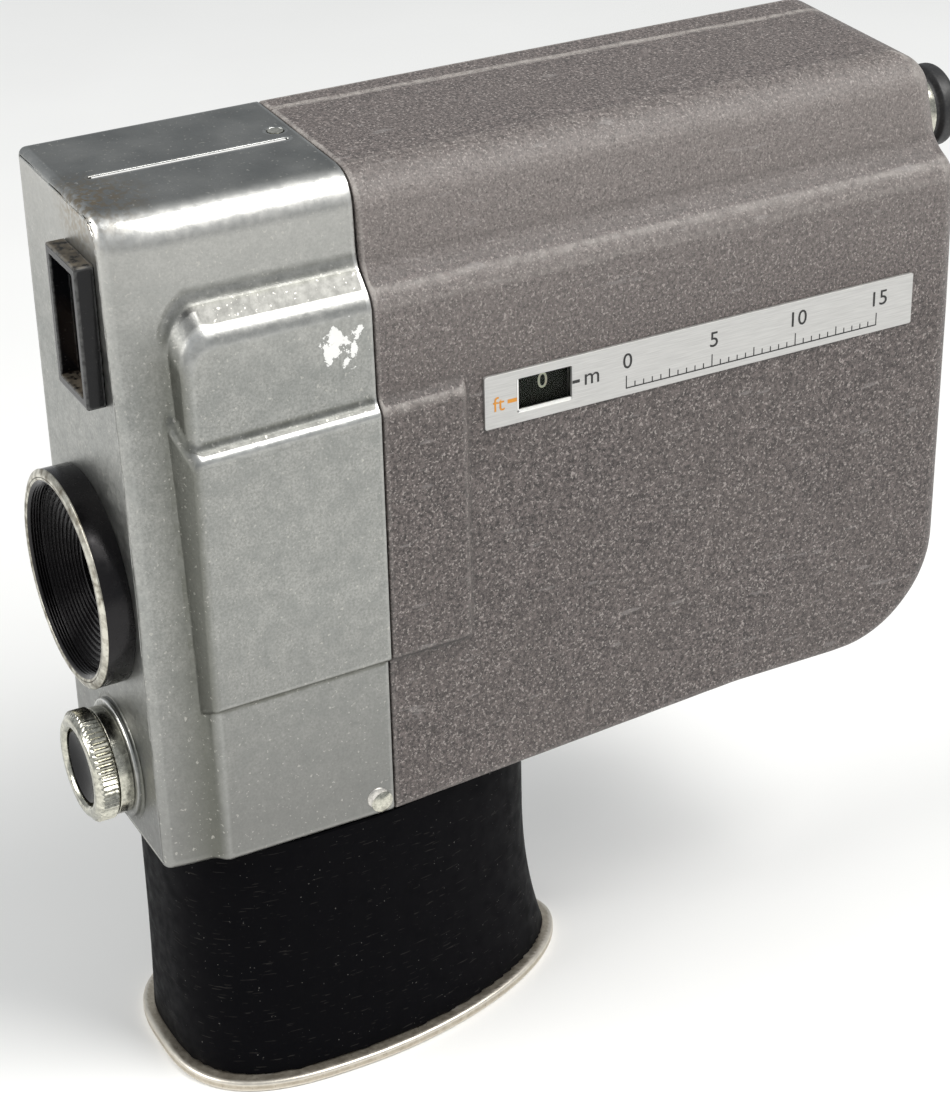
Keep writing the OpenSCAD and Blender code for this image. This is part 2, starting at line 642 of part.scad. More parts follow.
module film_door() color(dark) place() difference() {
    union() {
        difference() {
            intersection() {
                wide_body(0, seam_y + 0.3);
                block([far_x - 1, 0, -1], [door_w, body_len + 1, body_h + 1]);
            }
            wide_body(wall, seam_y - 5);
        }
        for (z = [35, 65]) hinge_knuckle(z, 9.8, 1);
    }
    for (z = [20, 50, 80]) rod_z(hinge_x, hinge_y, hinge_r + 0.3, z - 5.1, z + 5.1);
    // room for the battery cells when the door swings
    block([1.8, seam_y, -1], [door_w + 1, 46, 12]);
    rod_z(hinge_x, hinge_y, 0.65, -1, body_h + 1);
}

module door_hinge_pin() color(steel) place() rod_z(hinge_x, hinge_y, 0.6, 15, 85);

module door_latch() color(steel) place() {
    block([6.6, body_len + 0.1, 36.5], [12, body_len + 1.7, 47.5]);
    block([8.2, body_len - 2.2, 38.4], [10.4, body_len + 0.4, 46.5]);
    block([7.2, body_len - 3, 38.4], [11.4, body_len - 1.8, 46.5]);
}

// ---- battery compartment -------------------------------------------------------------------

module battery_cells() color(sleeve) place()
    for (x = [-0.5, 0.5]) for (y = [-0.5, 0.5])
    translate([mid_x + x * cell_pitch, grip_mid_y + y * cell_pitch, 0]) {
        rod_z(0, 0, cell_r, cell_z, cell_z + cell_len - 1.6);
        rod_z(0, 0, 2.7, cell_z + cell_len - 1.7, cell_z + cell_len);
    }

module battery_contacts() color(brass) place()
    for (x = [-0.5, 0.5]) translate([mid_x + x * cell_pitch, grip_mid_y, cell_z + cell_len])
        block([-4, -12, 0.1], [4, 12, 0.5]);

module battery_cover() color(champagne) place() difference() {
    union() {
        block([mid_x - cover_half, cover_axis_y, -grip_h],
            [mid_x + cover_half, cover_y1, -grip_h + cover_t]);
        rod_x(cover_axis_y, cover_axis_z, cover_t / 2, mid_x - cover_half, mid_x + cover_half);
    }
    rod_x(cover_axis_y, cover_axis_z, 0.5, 0, body_w);
    rod_z(mid_x, latch_y, 2.7, -grip_h - 1, -grip_h + 3);
}

module cover_hinge_pin() color(steel) place()
    rod_x(cover_axis_y, cover_axis_z, 0.45, mid_x - 18, mid_x + 18);

module cover_contacts() color(brass) place()
    for (y = [-0.5, 0.5]) translate([mid_x, grip_mid_y + y * cell_pitch, -grip_h + cover_t])
        block([-12, -3, 0.02], [12, 3, 0.7]);

module cover_latch() color(steel) place() difference() {
    rod_z(mid_x, latch_y, 2.64, -grip_h + 0.1, -grip_h + cover_t);
    block([mid_x - 2.2, latch_y - 0.4, -grip_h - 1], [mid_x + 2.2, latch_y + 0.4, -grip_h + 0.8]);
}

front_housing();
front_plate();
main_housing();
chassis();
mechanism_plate();
nameplate();
counter_window();
counter_pivot();
viewfinder_bezel();
finder_window();
finder_tube();
eyepiece();
eye_lens();
meter_cell();
exposure_meter();
lens_ring();
lens_baffle();
lens_cell();
front_element();
rear_element();
film_gate();
drive_motor();
release_collar();
release_switch();
housing_screws();
grip_shell();
grip_base();
base_screws();
tripod_bush();
battery_cells();
battery_contacts();
door_hinge_pin();
cover_hinge_pin();
film_door();
door_latch();
lock_ring();
release_button();
release_spring();
motor_pinion();
shutter_shaft();
shutter_gear();
shutter_disc();
film_claw();
idler_gear();
layshaft();
takeup_spindle();
takeup_gear();
counter_disc();
iris_vane();
battery_cover();
cover_contacts();
cover_latch();
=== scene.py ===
# Visual model of a pistol-grip cine camera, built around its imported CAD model.
# Shapes are worked out in body millimetres: x from the film-door side to the nameplate side, y from the
# front face to the eyepiece, z up from the lower edge of the body. to_row() turns them into the frame
# that the CAD model shares.
import json
import math

import bmesh
import bpy
import numpy as np
from mathutils import Matrix, Vector


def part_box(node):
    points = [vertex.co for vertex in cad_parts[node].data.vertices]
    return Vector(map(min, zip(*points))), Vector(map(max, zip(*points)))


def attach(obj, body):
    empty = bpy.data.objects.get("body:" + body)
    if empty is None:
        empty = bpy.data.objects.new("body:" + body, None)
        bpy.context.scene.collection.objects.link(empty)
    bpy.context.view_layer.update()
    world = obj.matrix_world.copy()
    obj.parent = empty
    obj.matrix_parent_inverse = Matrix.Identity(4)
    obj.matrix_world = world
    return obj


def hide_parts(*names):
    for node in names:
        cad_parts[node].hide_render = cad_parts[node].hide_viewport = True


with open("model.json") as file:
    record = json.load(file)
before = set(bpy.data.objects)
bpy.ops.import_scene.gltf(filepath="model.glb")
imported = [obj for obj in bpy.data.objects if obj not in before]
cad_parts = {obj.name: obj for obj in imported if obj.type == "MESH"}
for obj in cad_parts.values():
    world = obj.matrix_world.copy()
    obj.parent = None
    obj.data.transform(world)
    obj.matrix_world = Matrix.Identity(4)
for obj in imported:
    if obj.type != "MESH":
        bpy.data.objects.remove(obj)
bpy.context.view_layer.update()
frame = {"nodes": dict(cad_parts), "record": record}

# ---- frame ------------------------------------------------------------------------------------

BODY_W = 35.2       # nameplate side of the body
FAR = -1.5          # film-door side
REAR = 133.1        # back of the wide body
SEAM = 35.7         # joint between the silver and the painted casting
TOP = 99.87         # height of the top face at x = 4
TOP_SLOPE = 0.028
GRIP_H = 43.1
KNOB_FRONT = 6.7
LENS = (13.25, 40.3)
KNOB = (17.4, 11.4)
FINDER = (21.0, 87.3)
base_low, base_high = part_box("grip_base")
ORIGIN = np.array([
    (base_low[0] + base_high[0]) * 500 - BODY_W / 2,
    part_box("lock_ring")[0][1] * 1000 + KNOB_FRONT,
    base_low[2] * 1000 + GRIP_H,
])


def to_row(points):
    return (np.asarray(points, dtype=np.float64) + ORIGIN) / 1000.0


def spot(x, y, z):
    return Vector(to_row([x, y, z]))


# ---- meshes -----------------------------------------------------------------------------------


def mesh_object(name, points, faces, body, material, stands_for=(), smooth=True):
    mesh = bpy.data.meshes.new(name)
    mesh.from_pydata(to_row(points).tolist(), [], [list(f) for f in faces])
    mesh.validate()
    mesh.update()
    if smooth:
        mesh.shade_smooth()
    piece = bpy.data.objects.new(name, mesh)
    return settle(piece, body, material, stands_for)


def settle(piece, body, material, stands_for=()):
    if piece.name not in bpy.context.scene.collection.objects:
        bpy.context.scene.collection.objects.link(piece)
    piece.data.materials.clear()
    piece.data.materials.append(material)
    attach(piece, body)
    if stands_for:
        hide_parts(*stands_for)
    return piece


def soften(points, radius, steps=4):
    """A closed outline with its corners rounded; each point may carry its own radius."""
    out = []
    count = len(points)
    for i in range(count):
        before, here, after = (np.array(points[(i + k) % count][:2], float) for k in (-1, 0, 1))
        r = points[i][2] if len(points[i]) > 2 else radius
        a, b = before - here, after - here
        la, lb = np.linalg.norm(a), np.linalg.norm(b)
        reach = min(r, la * 0.45, lb * 0.45)
        if reach < 1e-4:
            out.append(here)
            continue
        start, end = here + a / la * reach, here + b / lb * reach
        for s in np.linspace(0, 1, steps + 1):
            out.append((1 - s) ** 2 * start + 2 * s * (1 - s) * here + s * s * end)
    return out


def turn(name, centre, profile, body, material, stands_for=(), segments=144, wobble=None, closed=True,
         radius=0.12, steps=3):
    """A turned piece about a Y axis; profile points are (radius, y)."""
    outline = soften(profile, radius, steps) if radius else [np.array(p[:2], float) for p in profile]
    outline = np.array(outline)
    angles = np.arange(segments) * 2 * math.pi / segments
    r = np.repeat(outline[:, 0][:, None], segments, 1)
    y = np.repeat(outline[:, 1][:, None], segments, 1)
    if wobble is not None:
        r = r + wobble(r, y, np.repeat(angles[None, :], len(outline), 0))
    points = np.stack([centre[0] + r * np.cos(angles), y, centre[1] + r * np.sin(angles)], -1).reshape(-1, 3)
    faces = []
    rows = len(outline)
    for i in range(rows if closed else rows - 1):
        j = (i + 1) % rows
        for k in range(segments):
            n = (k + 1) % segments
            faces.append((i * segments + k, i * segments + n, j * segments + n, j * segments + k))
    piece = mesh_object(name, points, faces, body, material, stands_for)
    tidy_normals(piece, 40)
    return piece


def tidy_normals(piece, angle=35):
    work = bmesh.new()
    work.from_mesh(piece.data)
    bmesh.ops.remove_doubles(work, verts=work.verts, dist=2e-6)
    bmesh.ops.recalc_face_normals(work, faces=work.faces)
    work.to_mesh(piece.data)
    work.free()
    piece.data.shade_smooth()
    piece.data.set_sharp_from_angle(angle=math.radians(angle))


# ---- solid fields -----------------------------------------------------------------------------
# A field is negative inside the solid. Its zero surface is meshed on a grid whose lines stand closer
# where edges and fillets are.


def cut(a, b, r=None):
    """Both a and b, with a round edge of radius r between them."""
    if r is None:
        return np.maximum(a, b)
    return np.minimum(np.maximum(a, b), -r) + np.hypot(np.maximum(a + r, 0), np.maximum(b + r, 0))


def join(a, b, r):
    """Either a or b, with a fillet of radius r between them."""
    return np.maximum(np.minimum(a, b), r) - np.hypot(np.maximum(r - a, 0), np.maximum(r - b, 0))


def brick(x, y, z, low, high, r=0.0):
    h = (np.subtract(high, low)) / 2
    m = (np.add(high, low)) / 2
    qx, qy, qz = np.abs(x - m[0]) - h[0] + r, np.abs(y - m[1]) - h[1] + r, np.abs(z - m[2]) - h[2] + r
    outer = np.sqrt(np.maximum(qx, 0) ** 2 + np.maximum(qy, 0) ** 2 + np.maximum(qz, 0) ** 2)
    return outer + np.minimum(np.maximum(qx, np.maximum(qy, qz)), 0) - r


def rod(a, b, along, centre, r, low, high):
    side = np.hypot(a - centre[0], b - centre[1]) - r
    return np.maximum(side, np.maximum(low - along, along - high))


def lines(start, stop, coarse, zones=()):
    out = [start]
    while out[-1] < stop:
        here = out[-1]
        step = coarse
        for low, high, fine in zones:
            gap = max(low - here, here - high, 0.0)
            step = min(step, max(fine, gap * 0.5 if here < low else fine + gap * 0.3))
        out.append(here + step)
    return np.array(out)


def skin(name, field, xs, ys, zs, body, material, stands_for=(), polish=3, bend=0.5):
    """Mesh a field's zero surface with one vertex to each grid cell that it passes through."""
    X, Y, Z = np.meshgrid(xs, ys, zs, indexing="ij")
    F = field(X, Y, Z)
    inside = F < 0
    total = np.zeros(tuple(n - 1 for n in F.shape) + (3,))
    hits = np.zeros(tuple(n - 1 for n in F.shape))
    grid = (X, Y, Z)
    quads = []
    for axis in range(3):
        near = [slice(None)] * 3
        far = [slice(None)] * 3
        near[axis], far[axis] = slice(None, -1), slice(1, None)
        near, far = tuple(near), tuple(far)
        crossing = inside[near] != inside[far]
        drop = np.where(crossing, F[near] - F[far], 1.0)
        t = np.where(crossing, F[near] / drop, 0.0)
        places = [np.where(crossing, g[near] + t * (g[far] - g[near]), 0.0) for g in grid]
        u, v = (axis + 1) % 3, (axis + 2) % 3
        for du in (0, 1):
            for dv in (0, 1):
                pick = [slice(None)] * 3
                pick[u] = slice(du, F.shape[u] - 1 + du)
                pick[v] = slice(dv, F.shape[v] - 1 + dv)
                pick = tuple(pick)
                hits += crossing[pick]
                for k in range(3):
                    total[..., k] += places[k][pick]
        index = np.argwhere(crossing)
        a, b = index[:, u], index[:, v]
        index = index[(a > 0) & (a < F.shape[u] - 1) & (b > 0) & (b < F.shape[v] - 1)]
        corner = []
        for du, dv in ((-1, -1), (0, -1), (0, 0), (-1, 0)):
            c = index.copy()
            c[:, u] += du
            c[:, v] += dv
            corner.append(c)
        corner = np.stack(corner, 1)
        outwards = inside[tuple(index.T)]
        corner[~outwards] = corner[~outwards][:, ::-1]
        quads.append(corner)
    quads = np.concatenate(quads)
    shape = hits.shape
    flat = np.ravel_multi_index(quads.reshape(-1, 3).T, shape)
    used, faces = np.unique(flat, return_inverse=True)
    faces = faces.reshape(-1, 4)
    points = total.reshape(-1, 3)[used] / hits.reshape(-1)[used][:, None]

    def slope(p, h=0.02):
        out = []
        for k in range(3):
            d = np.zeros(3)
            d[k] = h
            out.append((field(*(p + d).T) - field(*(p - d).T)) / (2 * h))
        return np.stack(out, 1)

    for _ in range(polish):
        g = slope(points)
        f = field(*points.T)
        size = np.maximum((g * g).sum(1), 0.25)
        step = g * (f / size)[:, None]
        long = np.linalg.norm(step, axis=1)
        step *= (np.minimum(long, 0.3) / np.maximum(long, 1e-9))[:, None]
        points = points - step
    normals = slope(points)
    normals /= np.maximum(np.linalg.norm(normals, axis=1), 1e-9)[:, None]
    mean = -6 * field(*points.T)
    for k in range(3):
        d = np.zeros(3)
        d[k] = bend
        mean = mean + field(*(points + d).T) + field(*(points - d).T)
    mean /= bend * bend

    mesh = bpy.data.meshes.new(name)
    mesh.vertices.add(len(points))
    mesh.vertices.foreach_set("co", to_row(points).astype(np.float32).ravel())
    mesh.loops.add(faces.size)
    mesh.loops.foreach_set("vertex_index", faces.astype(np.int32).ravel())
    mesh.polygons.add(len(faces))
    mesh.polygons.foreach_set("loop_start", (np.arange(len(faces)) * 4).astype(np.int32))
    mesh.update(calc_edges=True)
    mesh.validate()
    mesh.shade_smooth()
    mesh.normals_split_custom_set_from_vertices(normals.tolist())
    wear = mesh.attributes.new("edge", "FLOAT", "POINT")
    wear.data.foreach_set("value", np.clip(mean, -4, 4).astype(np.float32))
    return settle(bpy.data.objects.new(name, mesh), body, material, stands_for)


# ---- materials --------------------------------------------------------------------------------


class Shader:
    """A small builder around a node tree with one Principled shader. Scales are per millimetre."""

    def __init__(self, name, colour, metallic=0.0, roughness=0.5, **sockets):
        self.material = bpy.data.materials.new(name)
        self.material.use_nodes = True
        self.tree = self.material.node_tree
        self.shader = self.tree.nodes["Principled BSDF"]
        self.shader.inputs["Base Color"].default_value = (*colour, 1)
        self.shader.inputs["Metallic"].default_value = metallic
        self.shader.inputs["Roughness"].default_value = roughness
        for key, value in sockets.items():
            self.shader.inputs[key.replace("_", " ")].default_value = value
        where = self.node("ShaderNodeTexCoord").outputs["Object"]
        self.mm = self.node("ShaderNodeMapping", Vector=where)
        self.mm.inputs["Scale"].default_value = (1000, 1000, 1000)
        self.mm = self.mm.outputs[0]
        self.bump = None

    def node(self, kind, _props=None, **links):
        """Add a node and link or set its inputs, by name or, written _0, _1 and so on, by number."""
        n = self.tree.nodes.new(kind)
        for key, value in (_props or {}).items():
            setattr(n, key, value)
        for key, value in links.items():
            numbered = key[0] == "_" and key[1:].isdigit()
            socket = n.inputs[int(key[1:]) if numbered else key.replace("_", " ")]
            if isinstance(value, bpy.types.NodeSocket):
                self.tree.links.new(value, socket)
            else:
                socket.default_value = value
        return n

    def noise(self, scale, detail=2.0, rough=0.5, stretch=None):
        where = self.mm
        if stretch:
            m = self.node("ShaderNodeMapping", Vector=self.mm)
            m.inputs["Scale"].default_value = stretch
            where = m.outputs[0]
        n = self.node("ShaderNodeTexNoise", Vector=where, Scale=scale, Detail=detail, Roughness=rough)
        return n.outputs[0]

    def band(self, value, low, high, out_low=0.0, out_high=1.0):
        return self.node("ShaderNodeMapRange", {"clamp": True}, Value=value, _1=low, _2=high, _3=out_low,
                         _4=out_high).outputs[0]

    def maths(self, kind, a, b=0.0):
        return self.node("ShaderNodeMath", {"operation": kind}, _0=a, _1=b).outputs[0]

    def times(self, a, b):
        return self.maths("MULTIPLY", a, b)

    def blend(self, factor, a, b):
        def full(c):
            return c if isinstance(c, bpy.types.NodeSocket) else (*c, 1)

        n = self.node("ShaderNodeMix", {"data_type": "RGBA"})
        for socket, value in ((n.inputs[0], factor), (n.inputs[6], full(a)), (n.inputs[7], full(b))):
            if isinstance(value, bpy.types.NodeSocket):
                self.tree.links.new(value, socket)
            else:
                socket.default_value = value
        return n.outputs[2]

    def edge(self):
        return self.node("ShaderNodeAttribute", {"attribute_name": "edge"}).outputs["Fac"]

    def facing(self):
        """How far the surface looks up, from -1 to 1."""
        normal = self.node("ShaderNodeNewGeometry").outputs["Normal"]
        return self.node("ShaderNodeSeparateXYZ", Vector=normal).outputs["Z"]

    def near(self, centre, reach):
        """1 at a body place, falling to 0 at reach millimetres from it."""
        gap = self.node("ShaderNodeVectorMath", {"operation": "DISTANCE"}, _0=self.mm,
                        _1=tuple(np.array(centre) + ORIGIN)).outputs["Value"]
        return self.band(gap, 0, reach, 1, 0)

    def axis(self, name):
        return self.node("ShaderNodeSeparateXYZ", Vector=self.mm).outputs[name]

    def along(self, name, low, high, out_low=0.0, out_high=1.0):
        """A band between two places on a body axis, in body millimetres."""
        start = ORIGIN["XYZ".index(name)]
        return self.band(self.axis(name), start + low, start + high, out_low, out_high)

    def set(self, key, value):
        self.tree.links.new(value, self.shader.inputs[key])

    def relief(self, height, distance, strength=1.0):
        n = self.node("ShaderNodeBump", Height=height, Strength=strength, Distance=distance / 1000)
        if self.bump is not None:
            self.tree.links.new(self.bump, n.inputs["Normal"])
        self.bump = n.outputs[0]
        self.tree.links.new(self.bump, self.shader.inputs["Normal"])


def satin_silver():
    """Satin cast metal: rubbed edges with a painted highlight where they face up and along the top edge,
    grime and painted shade in corners, painted shade under things, on the ledge slope and on the dirty top
    face, lighter higher up and darker lower down as painted light, and a bare patch by the seam.
    """
    s = Shader("satin_silver", (0.38, 0.38, 0.37), 1.0, 0.38)
    fine = s.noise(2.6, 3, 0.65)
    cloud = s.noise(0.33, 5, 0.6)
    lift = s.facing()
    tone = s.blend(s.band(fine, 0.33, 0.68), (0.26, 0.265, 0.25), (0.40, 0.40, 0.383))
    tone = s.blend(s.band(s.noise(1.0, 4, 0.7), 0.5, 0.7, 0, 0.35), tone, (0.46, 0.46, 0.44))
    tone = s.blend(s.band(cloud, 0.36, 0.62, 0.45, 0.0), tone, (0.225, 0.235, 0.225))
    # Painted light: the metal is lighter higher up the walls.
    tone = s.blend(s.along("Z", 74, 98, 0, 0.55), tone, (0.62, 0.61, 0.58))
    # Painted shade: the metal is darker towards the bottom.
    tone = s.blend(s.along("Z", 6, 40, 0.75, 0), tone, (0.2, 0.2, 0.192))
    # Painted shade: the ledge slope is darkened, away from its edges.
    slope = s.times(s.band(lift, 0.5, 0.64), s.band(lift, 0.74, 0.86, 1, 0))
    slope = s.times(slope, s.band(s.edge(), 0.13, 0.3, 1, 0))
    tone = s.blend(s.times(slope, 0.85), tone, (0.07, 0.07, 0.066))
    # Painted highlight: a light band along the rounded top edge of the walls.
    painted_top_edge_highlight = s.times(s.band(lift, 0.2, 0.45), s.band(lift, 0.86, 0.97, 1, 0))
    painted_top_edge_highlight = s.times(painted_top_edge_highlight, s.along("Z", 93.0, 94.5))
    tone = s.blend(painted_top_edge_highlight, tone, (0.86, 0.85, 0.81))
    # Rubbed edges with a painted highlight: convex edges are lighter, most where they face up.
    wear_and_highlight = s.times(s.band(s.edge(), 0.16, 0.6), s.band(s.noise(0.5, 4), 0.25, 0.6, 0.5, 1))
    wear_and_highlight = s.times(wear_and_highlight, s.band(lift, 0.05, 0.5, 0.1, 1))
    tone = s.blend(wear_and_highlight, tone, (0.84, 0.84, 0.81))
    # Painted shade in the ditch between the front band and the step.
    painted_ditch_shade = s.times(s.along("Y", 1.5, 7.2), s.along("Y", 8.0, 9.2, 1, 0))
    painted_ditch_shade = s.times(painted_ditch_shade, s.along("Z", 78, 86, 1, 0))
    # Grime and painted shade in concave corners, stronger where they do not face up; with the painted ditch
    # shade and a painted shadow on faces that look down.
    grime_and_shade = s.times(s.band(s.edge(), -0.9, -0.08, 1, 0), s.band(s.noise(0.35, 3), 0.3, 0.7, 0.5, 1))
    grime_and_shade = s.maths("MAXIMUM", s.times(grime_and_shade, s.band(lift, 0.1, 0.6, 0.8, 0.35)), s.times(painted_ditch_shade, 0.66))
    grime_and_shade = s.maths("MAXIMUM", grime_and_shade, s.times(s.band(lift, -0.6, -0.15, 0.85, 0), s.along("Z", 4, 8)))
    tone = s.blend(grime_and_shade, tone, (0.10, 0.102, 0.082))
    chips = s.times(s.near((35.0, 31.5, 77.5), 6.0), s.band(s.noise(0.4, 6, 0.66), 0.43, 0.60))
    chips = s.band(chips, 0.30, 0.33)
    tone = s.blend(chips, tone, (0.9, 0.9, 0.88))
    # Dirt and painted shade on the top face: darker and mottled.
    up = s.times(s.along("Z", 98.4, 99.3), s.band(s.noise(0.12, 4), 0.3, 0.65, 0.55, 1))
    tone = s.blend(s.times(up, 0.72), tone, (0.13, 0.14, 0.14))
    specks = s.times(s.band(s.noise(1.7, 2.5), 0.655, 0.70), s.band(up, 0, 1, 0.55, 1))
    tone = s.blend(s.times(specks, 0.7), tone, (0.66, 0.64, 0.59))
    rust = s.times(s.near((21.0, 1.5, 100.5), 10), s.band(s.noise(1.1, 5), 0.42, 0.58))
    tone = s.blend(s.times(rust, 0.9), tone, (0.26, 0.19, 0.10))
    s.set("Base Color", tone)
    rough = s.band(s.noise(0.8, 3), 0.3, 0.7, 0.33, 0.44)
    rough = s.maths("SUBTRACT", rough, s.times(wear_and_highlight, 0.08))
    s.set("Roughness", rough)
    s.relief(fine, 0.035, 0.5)
    s.relief(s.noise(0.9, 2), 0.06, 0.25)
    s.relief(chips, -0.03, 0.6)
    return s.material


def wrinkle_paint():
    """Grainy brown-grey enamel: dark pits, upper walls lighter as painted light, rubbed edges with a painted
    highlight, dust and painted shade in creases, painted shade underneath, and a few pale scuffs.
    """
    s = Shader("wrinkle_paint", (0.11, 0.1, 0.1), 0.0, 0.45, Specular_IOR_Level=0.5)
    lumps = s.noise(1.9, 3.5, 0.7)
    small = s.noise(3.6, 2, 0.6)
    tone = s.blend(s.band(lumps, 0.37, 0.63), (0.022, 0.017, 0.016), (0.162, 0.136, 0.129))
    tone = s.blend(s.band(s.noise(0.05, 3), 0.35, 0.65, 0, 0.25), tone, (0.105, 0.088, 0.08))
    glitter = s.band(s.noise(2.7, 2.0, 0.55), 0.585, 0.65)
    tone = s.blend(s.times(glitter, 0.62), tone, (0.44, 0.395, 0.37))
    pits = s.band(s.noise(2.2, 2.5, 0.6), 0.40, 0.34)
    tone = s.blend(s.times(pits, 0.8), tone, (0.022, 0.018, 0.017))
    # Painted light: the walls are lighter higher up, less where they face straight up.
    high = s.times(s.along("Z", 60, 92, 0, 0.62),
                   s.band(s.facing(), 0.5, 0.95, 1, 0.25))
    tone = s.blend(s.times(high, s.band(small, 0.35, 0.65, 0.35, 1)), tone, (0.29, 0.26, 0.245))
    # Rubbed edges with a painted highlight: convex edges are lighter, most where they face up.
    wear_and_highlight = s.times(s.band(s.edge(), 0.08, 0.6), s.band(s.noise(0.7, 5), 0.36, 0.62, 0.3, 1))
    wear_and_highlight = s.times(wear_and_highlight, s.band(s.facing(), 0.0, 0.5, 0.12, 0.55))
    tone = s.blend(wear_and_highlight, tone, (0.46, 0.43, 0.40))
    # Dust and painted shade in creases: concave places are darker, mottled.
    dust_and_shade = s.times(s.band(s.edge(), -0.7, -0.05, 1, 0), s.band(s.noise(0.45, 4), 0.3, 0.7, 0.1, 0.6))
    tone = s.blend(dust_and_shade, tone, (0.09, 0.08, 0.075))
    # Painted shade on faces that look down, from a little above the grip upwards.
    painted_underside_shade = s.times(s.band(s.facing(), -0.6, -0.15, 0.8, 0), s.along("Z", 18, 24))
    tone = s.blend(painted_underside_shade, tone, (0.03, 0.026, 0.025))
    scuff = s.band(s.noise(0.55, 6, 0.55, (1.0, 0.25, 1.4)), 0.645, 0.69)
    tone = s.blend(s.times(scuff, 0.3), tone, (0.33, 0.31, 0.30))
    s.set("Base Color", tone)
    s.set("Roughness", s.band(lumps, 0.3, 0.7, 0.34, 0.56))
    s.relief(lumps, 0.24, 0.85)
    s.relief(small, 0.07, 0.7)
    return s.material


def grip_black():
    """Deep black moulding with dust, pale flecks and hairline scratches."""
    s = Shader("grip_black", (0.005, 0.005, 0.006), 0.0, 0.45, Specular_IOR_Level=0.03)
    dust_and_shade = s.band(s.noise(1.7, 4, 0.7), 0.60, 0.78)
    flecks = s.band(s.noise(2.3, 1), 0.76, 0.79)
    scratch = s.band(s.noise(0.6, 2, 0.4, (0.6, 0.6, 6.0)), 0.685, 0.70)
    tone = s.blend(s.times(dust_and_shade, 0.12), (0.0022, 0.0022, 0.003), (0.03, 0.028, 0.026))
    tone = s.blend(s.times(flecks, 0.5), tone, (0.2, 0.19, 0.18))
    tone = s.blend(s.times(scratch, 0.12), tone, (0.12, 0.11, 0.1))
    s.set("Base Color", tone)
    s.set("Roughness", s.band(s.noise(0.4, 4), 0.3, 0.7, 0.38, 0.6))
    s.relief(s.noise(3.5, 2), 0.012, 0.4)
    s.relief(scratch, -0.02, 0.4)
    return s.material


def bezel_gloss():
    """Polished black moulding, brown with dust on its top and with a painted highlight along its edges."""
    s = Shader("bezel_gloss", (0.004, 0.004, 0.005), 0.0, 0.12, Specular_IOR_Level=0.25)
    dust_and_shade = s.times(s.band(s.facing(), 0.3, 0.9), s.band(s.noise(0.9, 5), 0.35, 0.6))
    tone = s.blend(s.times(dust_and_shade, 0.8), (0.004, 0.004, 0.005), (0.15, 0.13, 0.10))
    # Painted highlight: lighter along the edges, mottled.
    painted_edge_highlight = s.times(s.band(s.edge(), 0.8, 2.4), s.band(s.noise(1.2, 4), 0.35, 0.6, 0.2, 1))
    tone = s.blend(s.times(painted_edge_highlight, 0.2), tone, (0.42, 0.42, 0.41))
    flecks = s.band(s.noise(3.0, 3), 0.66, 0.72)
    s.set("Base Color", s.blend(s.times(flecks, 0.15), tone, (0.2, 0.19, 0.17)))
    dulled = s.band(dust_and_shade, 0, 1, 0.12, 0.6)
    s.set("Roughness", s.maths("ADD", dulled, s.band(s.noise(0.8, 3), 0.3, 0.7, 0, 0.08)))
    s.relief(s.noise(4, 2), 0.006, 0.3)
    return s.material


def metal(name, colour, roughness, scale=1.2, stretch=None, depth=0.01, tint=0.25):
    """A bare or plated metal with fine marks; stretch draws them out into brush lines."""
    s = Shader(name, colour, 1.0, roughness)
    dark = tuple(c * (1 - tint) for c in colour)
    light = tuple(min(1, c * (1 + tint * 0.5)) for c in colour)
    marks = s.noise(scale, 4, 0.6, stretch)
    s.set("Base Color", s.blend(s.band(marks, 0.3, 0.7), dark, light))
    s.set("Roughness", s.band(s.noise(0.7, 3), 0.3, 0.7, roughness - 0.06, roughness + 0.1))
    s.relief(marks, depth, 0.5)
    return s.material


def plastic(name, colour, roughness, scale=1.5, light=None, depth=0.015, **sockets):
    """A moulded or printed surface with lighter flecks."""
    s = Shader(name, colour, 0.0, roughness, **sockets)
    light = light or tuple(min(1, c * 2.2 + 0.01) for c in colour)
    s.set("Base Color", s.blend(s.band(s.noise(scale, 4, 0.65), 0.5, 0.85), colour, light))
    s.set("Roughness", s.band(s.noise(0.6, 3), 0.3, 0.7, max(0.03, roughness - 0.08), roughness + 0.1))
    s.relief(s.noise(scale * 2.5, 3), depth, 0.4)
    return s.material


def anodised_black():
    """Black anodised metal with pale dust."""
    s = Shader("anodised_black", (0.012, 0.011, 0.012), 0.6, 0.28)
    dust_and_shade = s.band(s.noise(2.2, 4, 0.7), 0.66, 0.74)
    s.set("Base Color", s.blend(s.times(dust_and_shade, 0.5), (0.012, 0.011, 0.012), (0.16, 0.15, 0.14)))
    s.set("Roughness", s.band(s.noise(0.8, 3), 0.3, 0.7, 0.18, 0.32))
    s.relief(s.noise(5, 2), 0.005, 0.3)
    return s.material


def rim_metal():
    """Bare metal at the front edge of the lens barrel, dulled in patches."""
    s = Shader("rim_metal", (0.62, 0.62, 0.58), 1.0, 0.30)
    wear = s.noise(0.5, 4, 0.6)
    s.set("Base Color", s.blend(s.band(wear, 0.36, 0.6), (0.20, 0.18, 0.14), (0.66, 0.64, 0.56)))
    s.set("Roughness", s.band(wear, 0.3, 0.7, 0.42, 0.27))
    s.relief(wear, 0.02, 0.4)
    return s.material


def nameplate_face():
    """Silver plate brushed along its length."""
    s = Shader("brushed_plate", (0.74, 0.74, 0.735), 0.7, 0.42)
    brush = s.noise(1.0, 3, 0.6, (6, 0.25, 8))
    s.set("Base Color", s.blend(s.band(brush, 0.3, 0.7), (0.47, 0.465, 0.455), (0.60, 0.595, 0.58)))
    s.set("Roughness", s.band(brush, 0.3, 0.7, 0.36, 0.5))
    s.relief(brush, 0.01, 0.4)
    return s.material


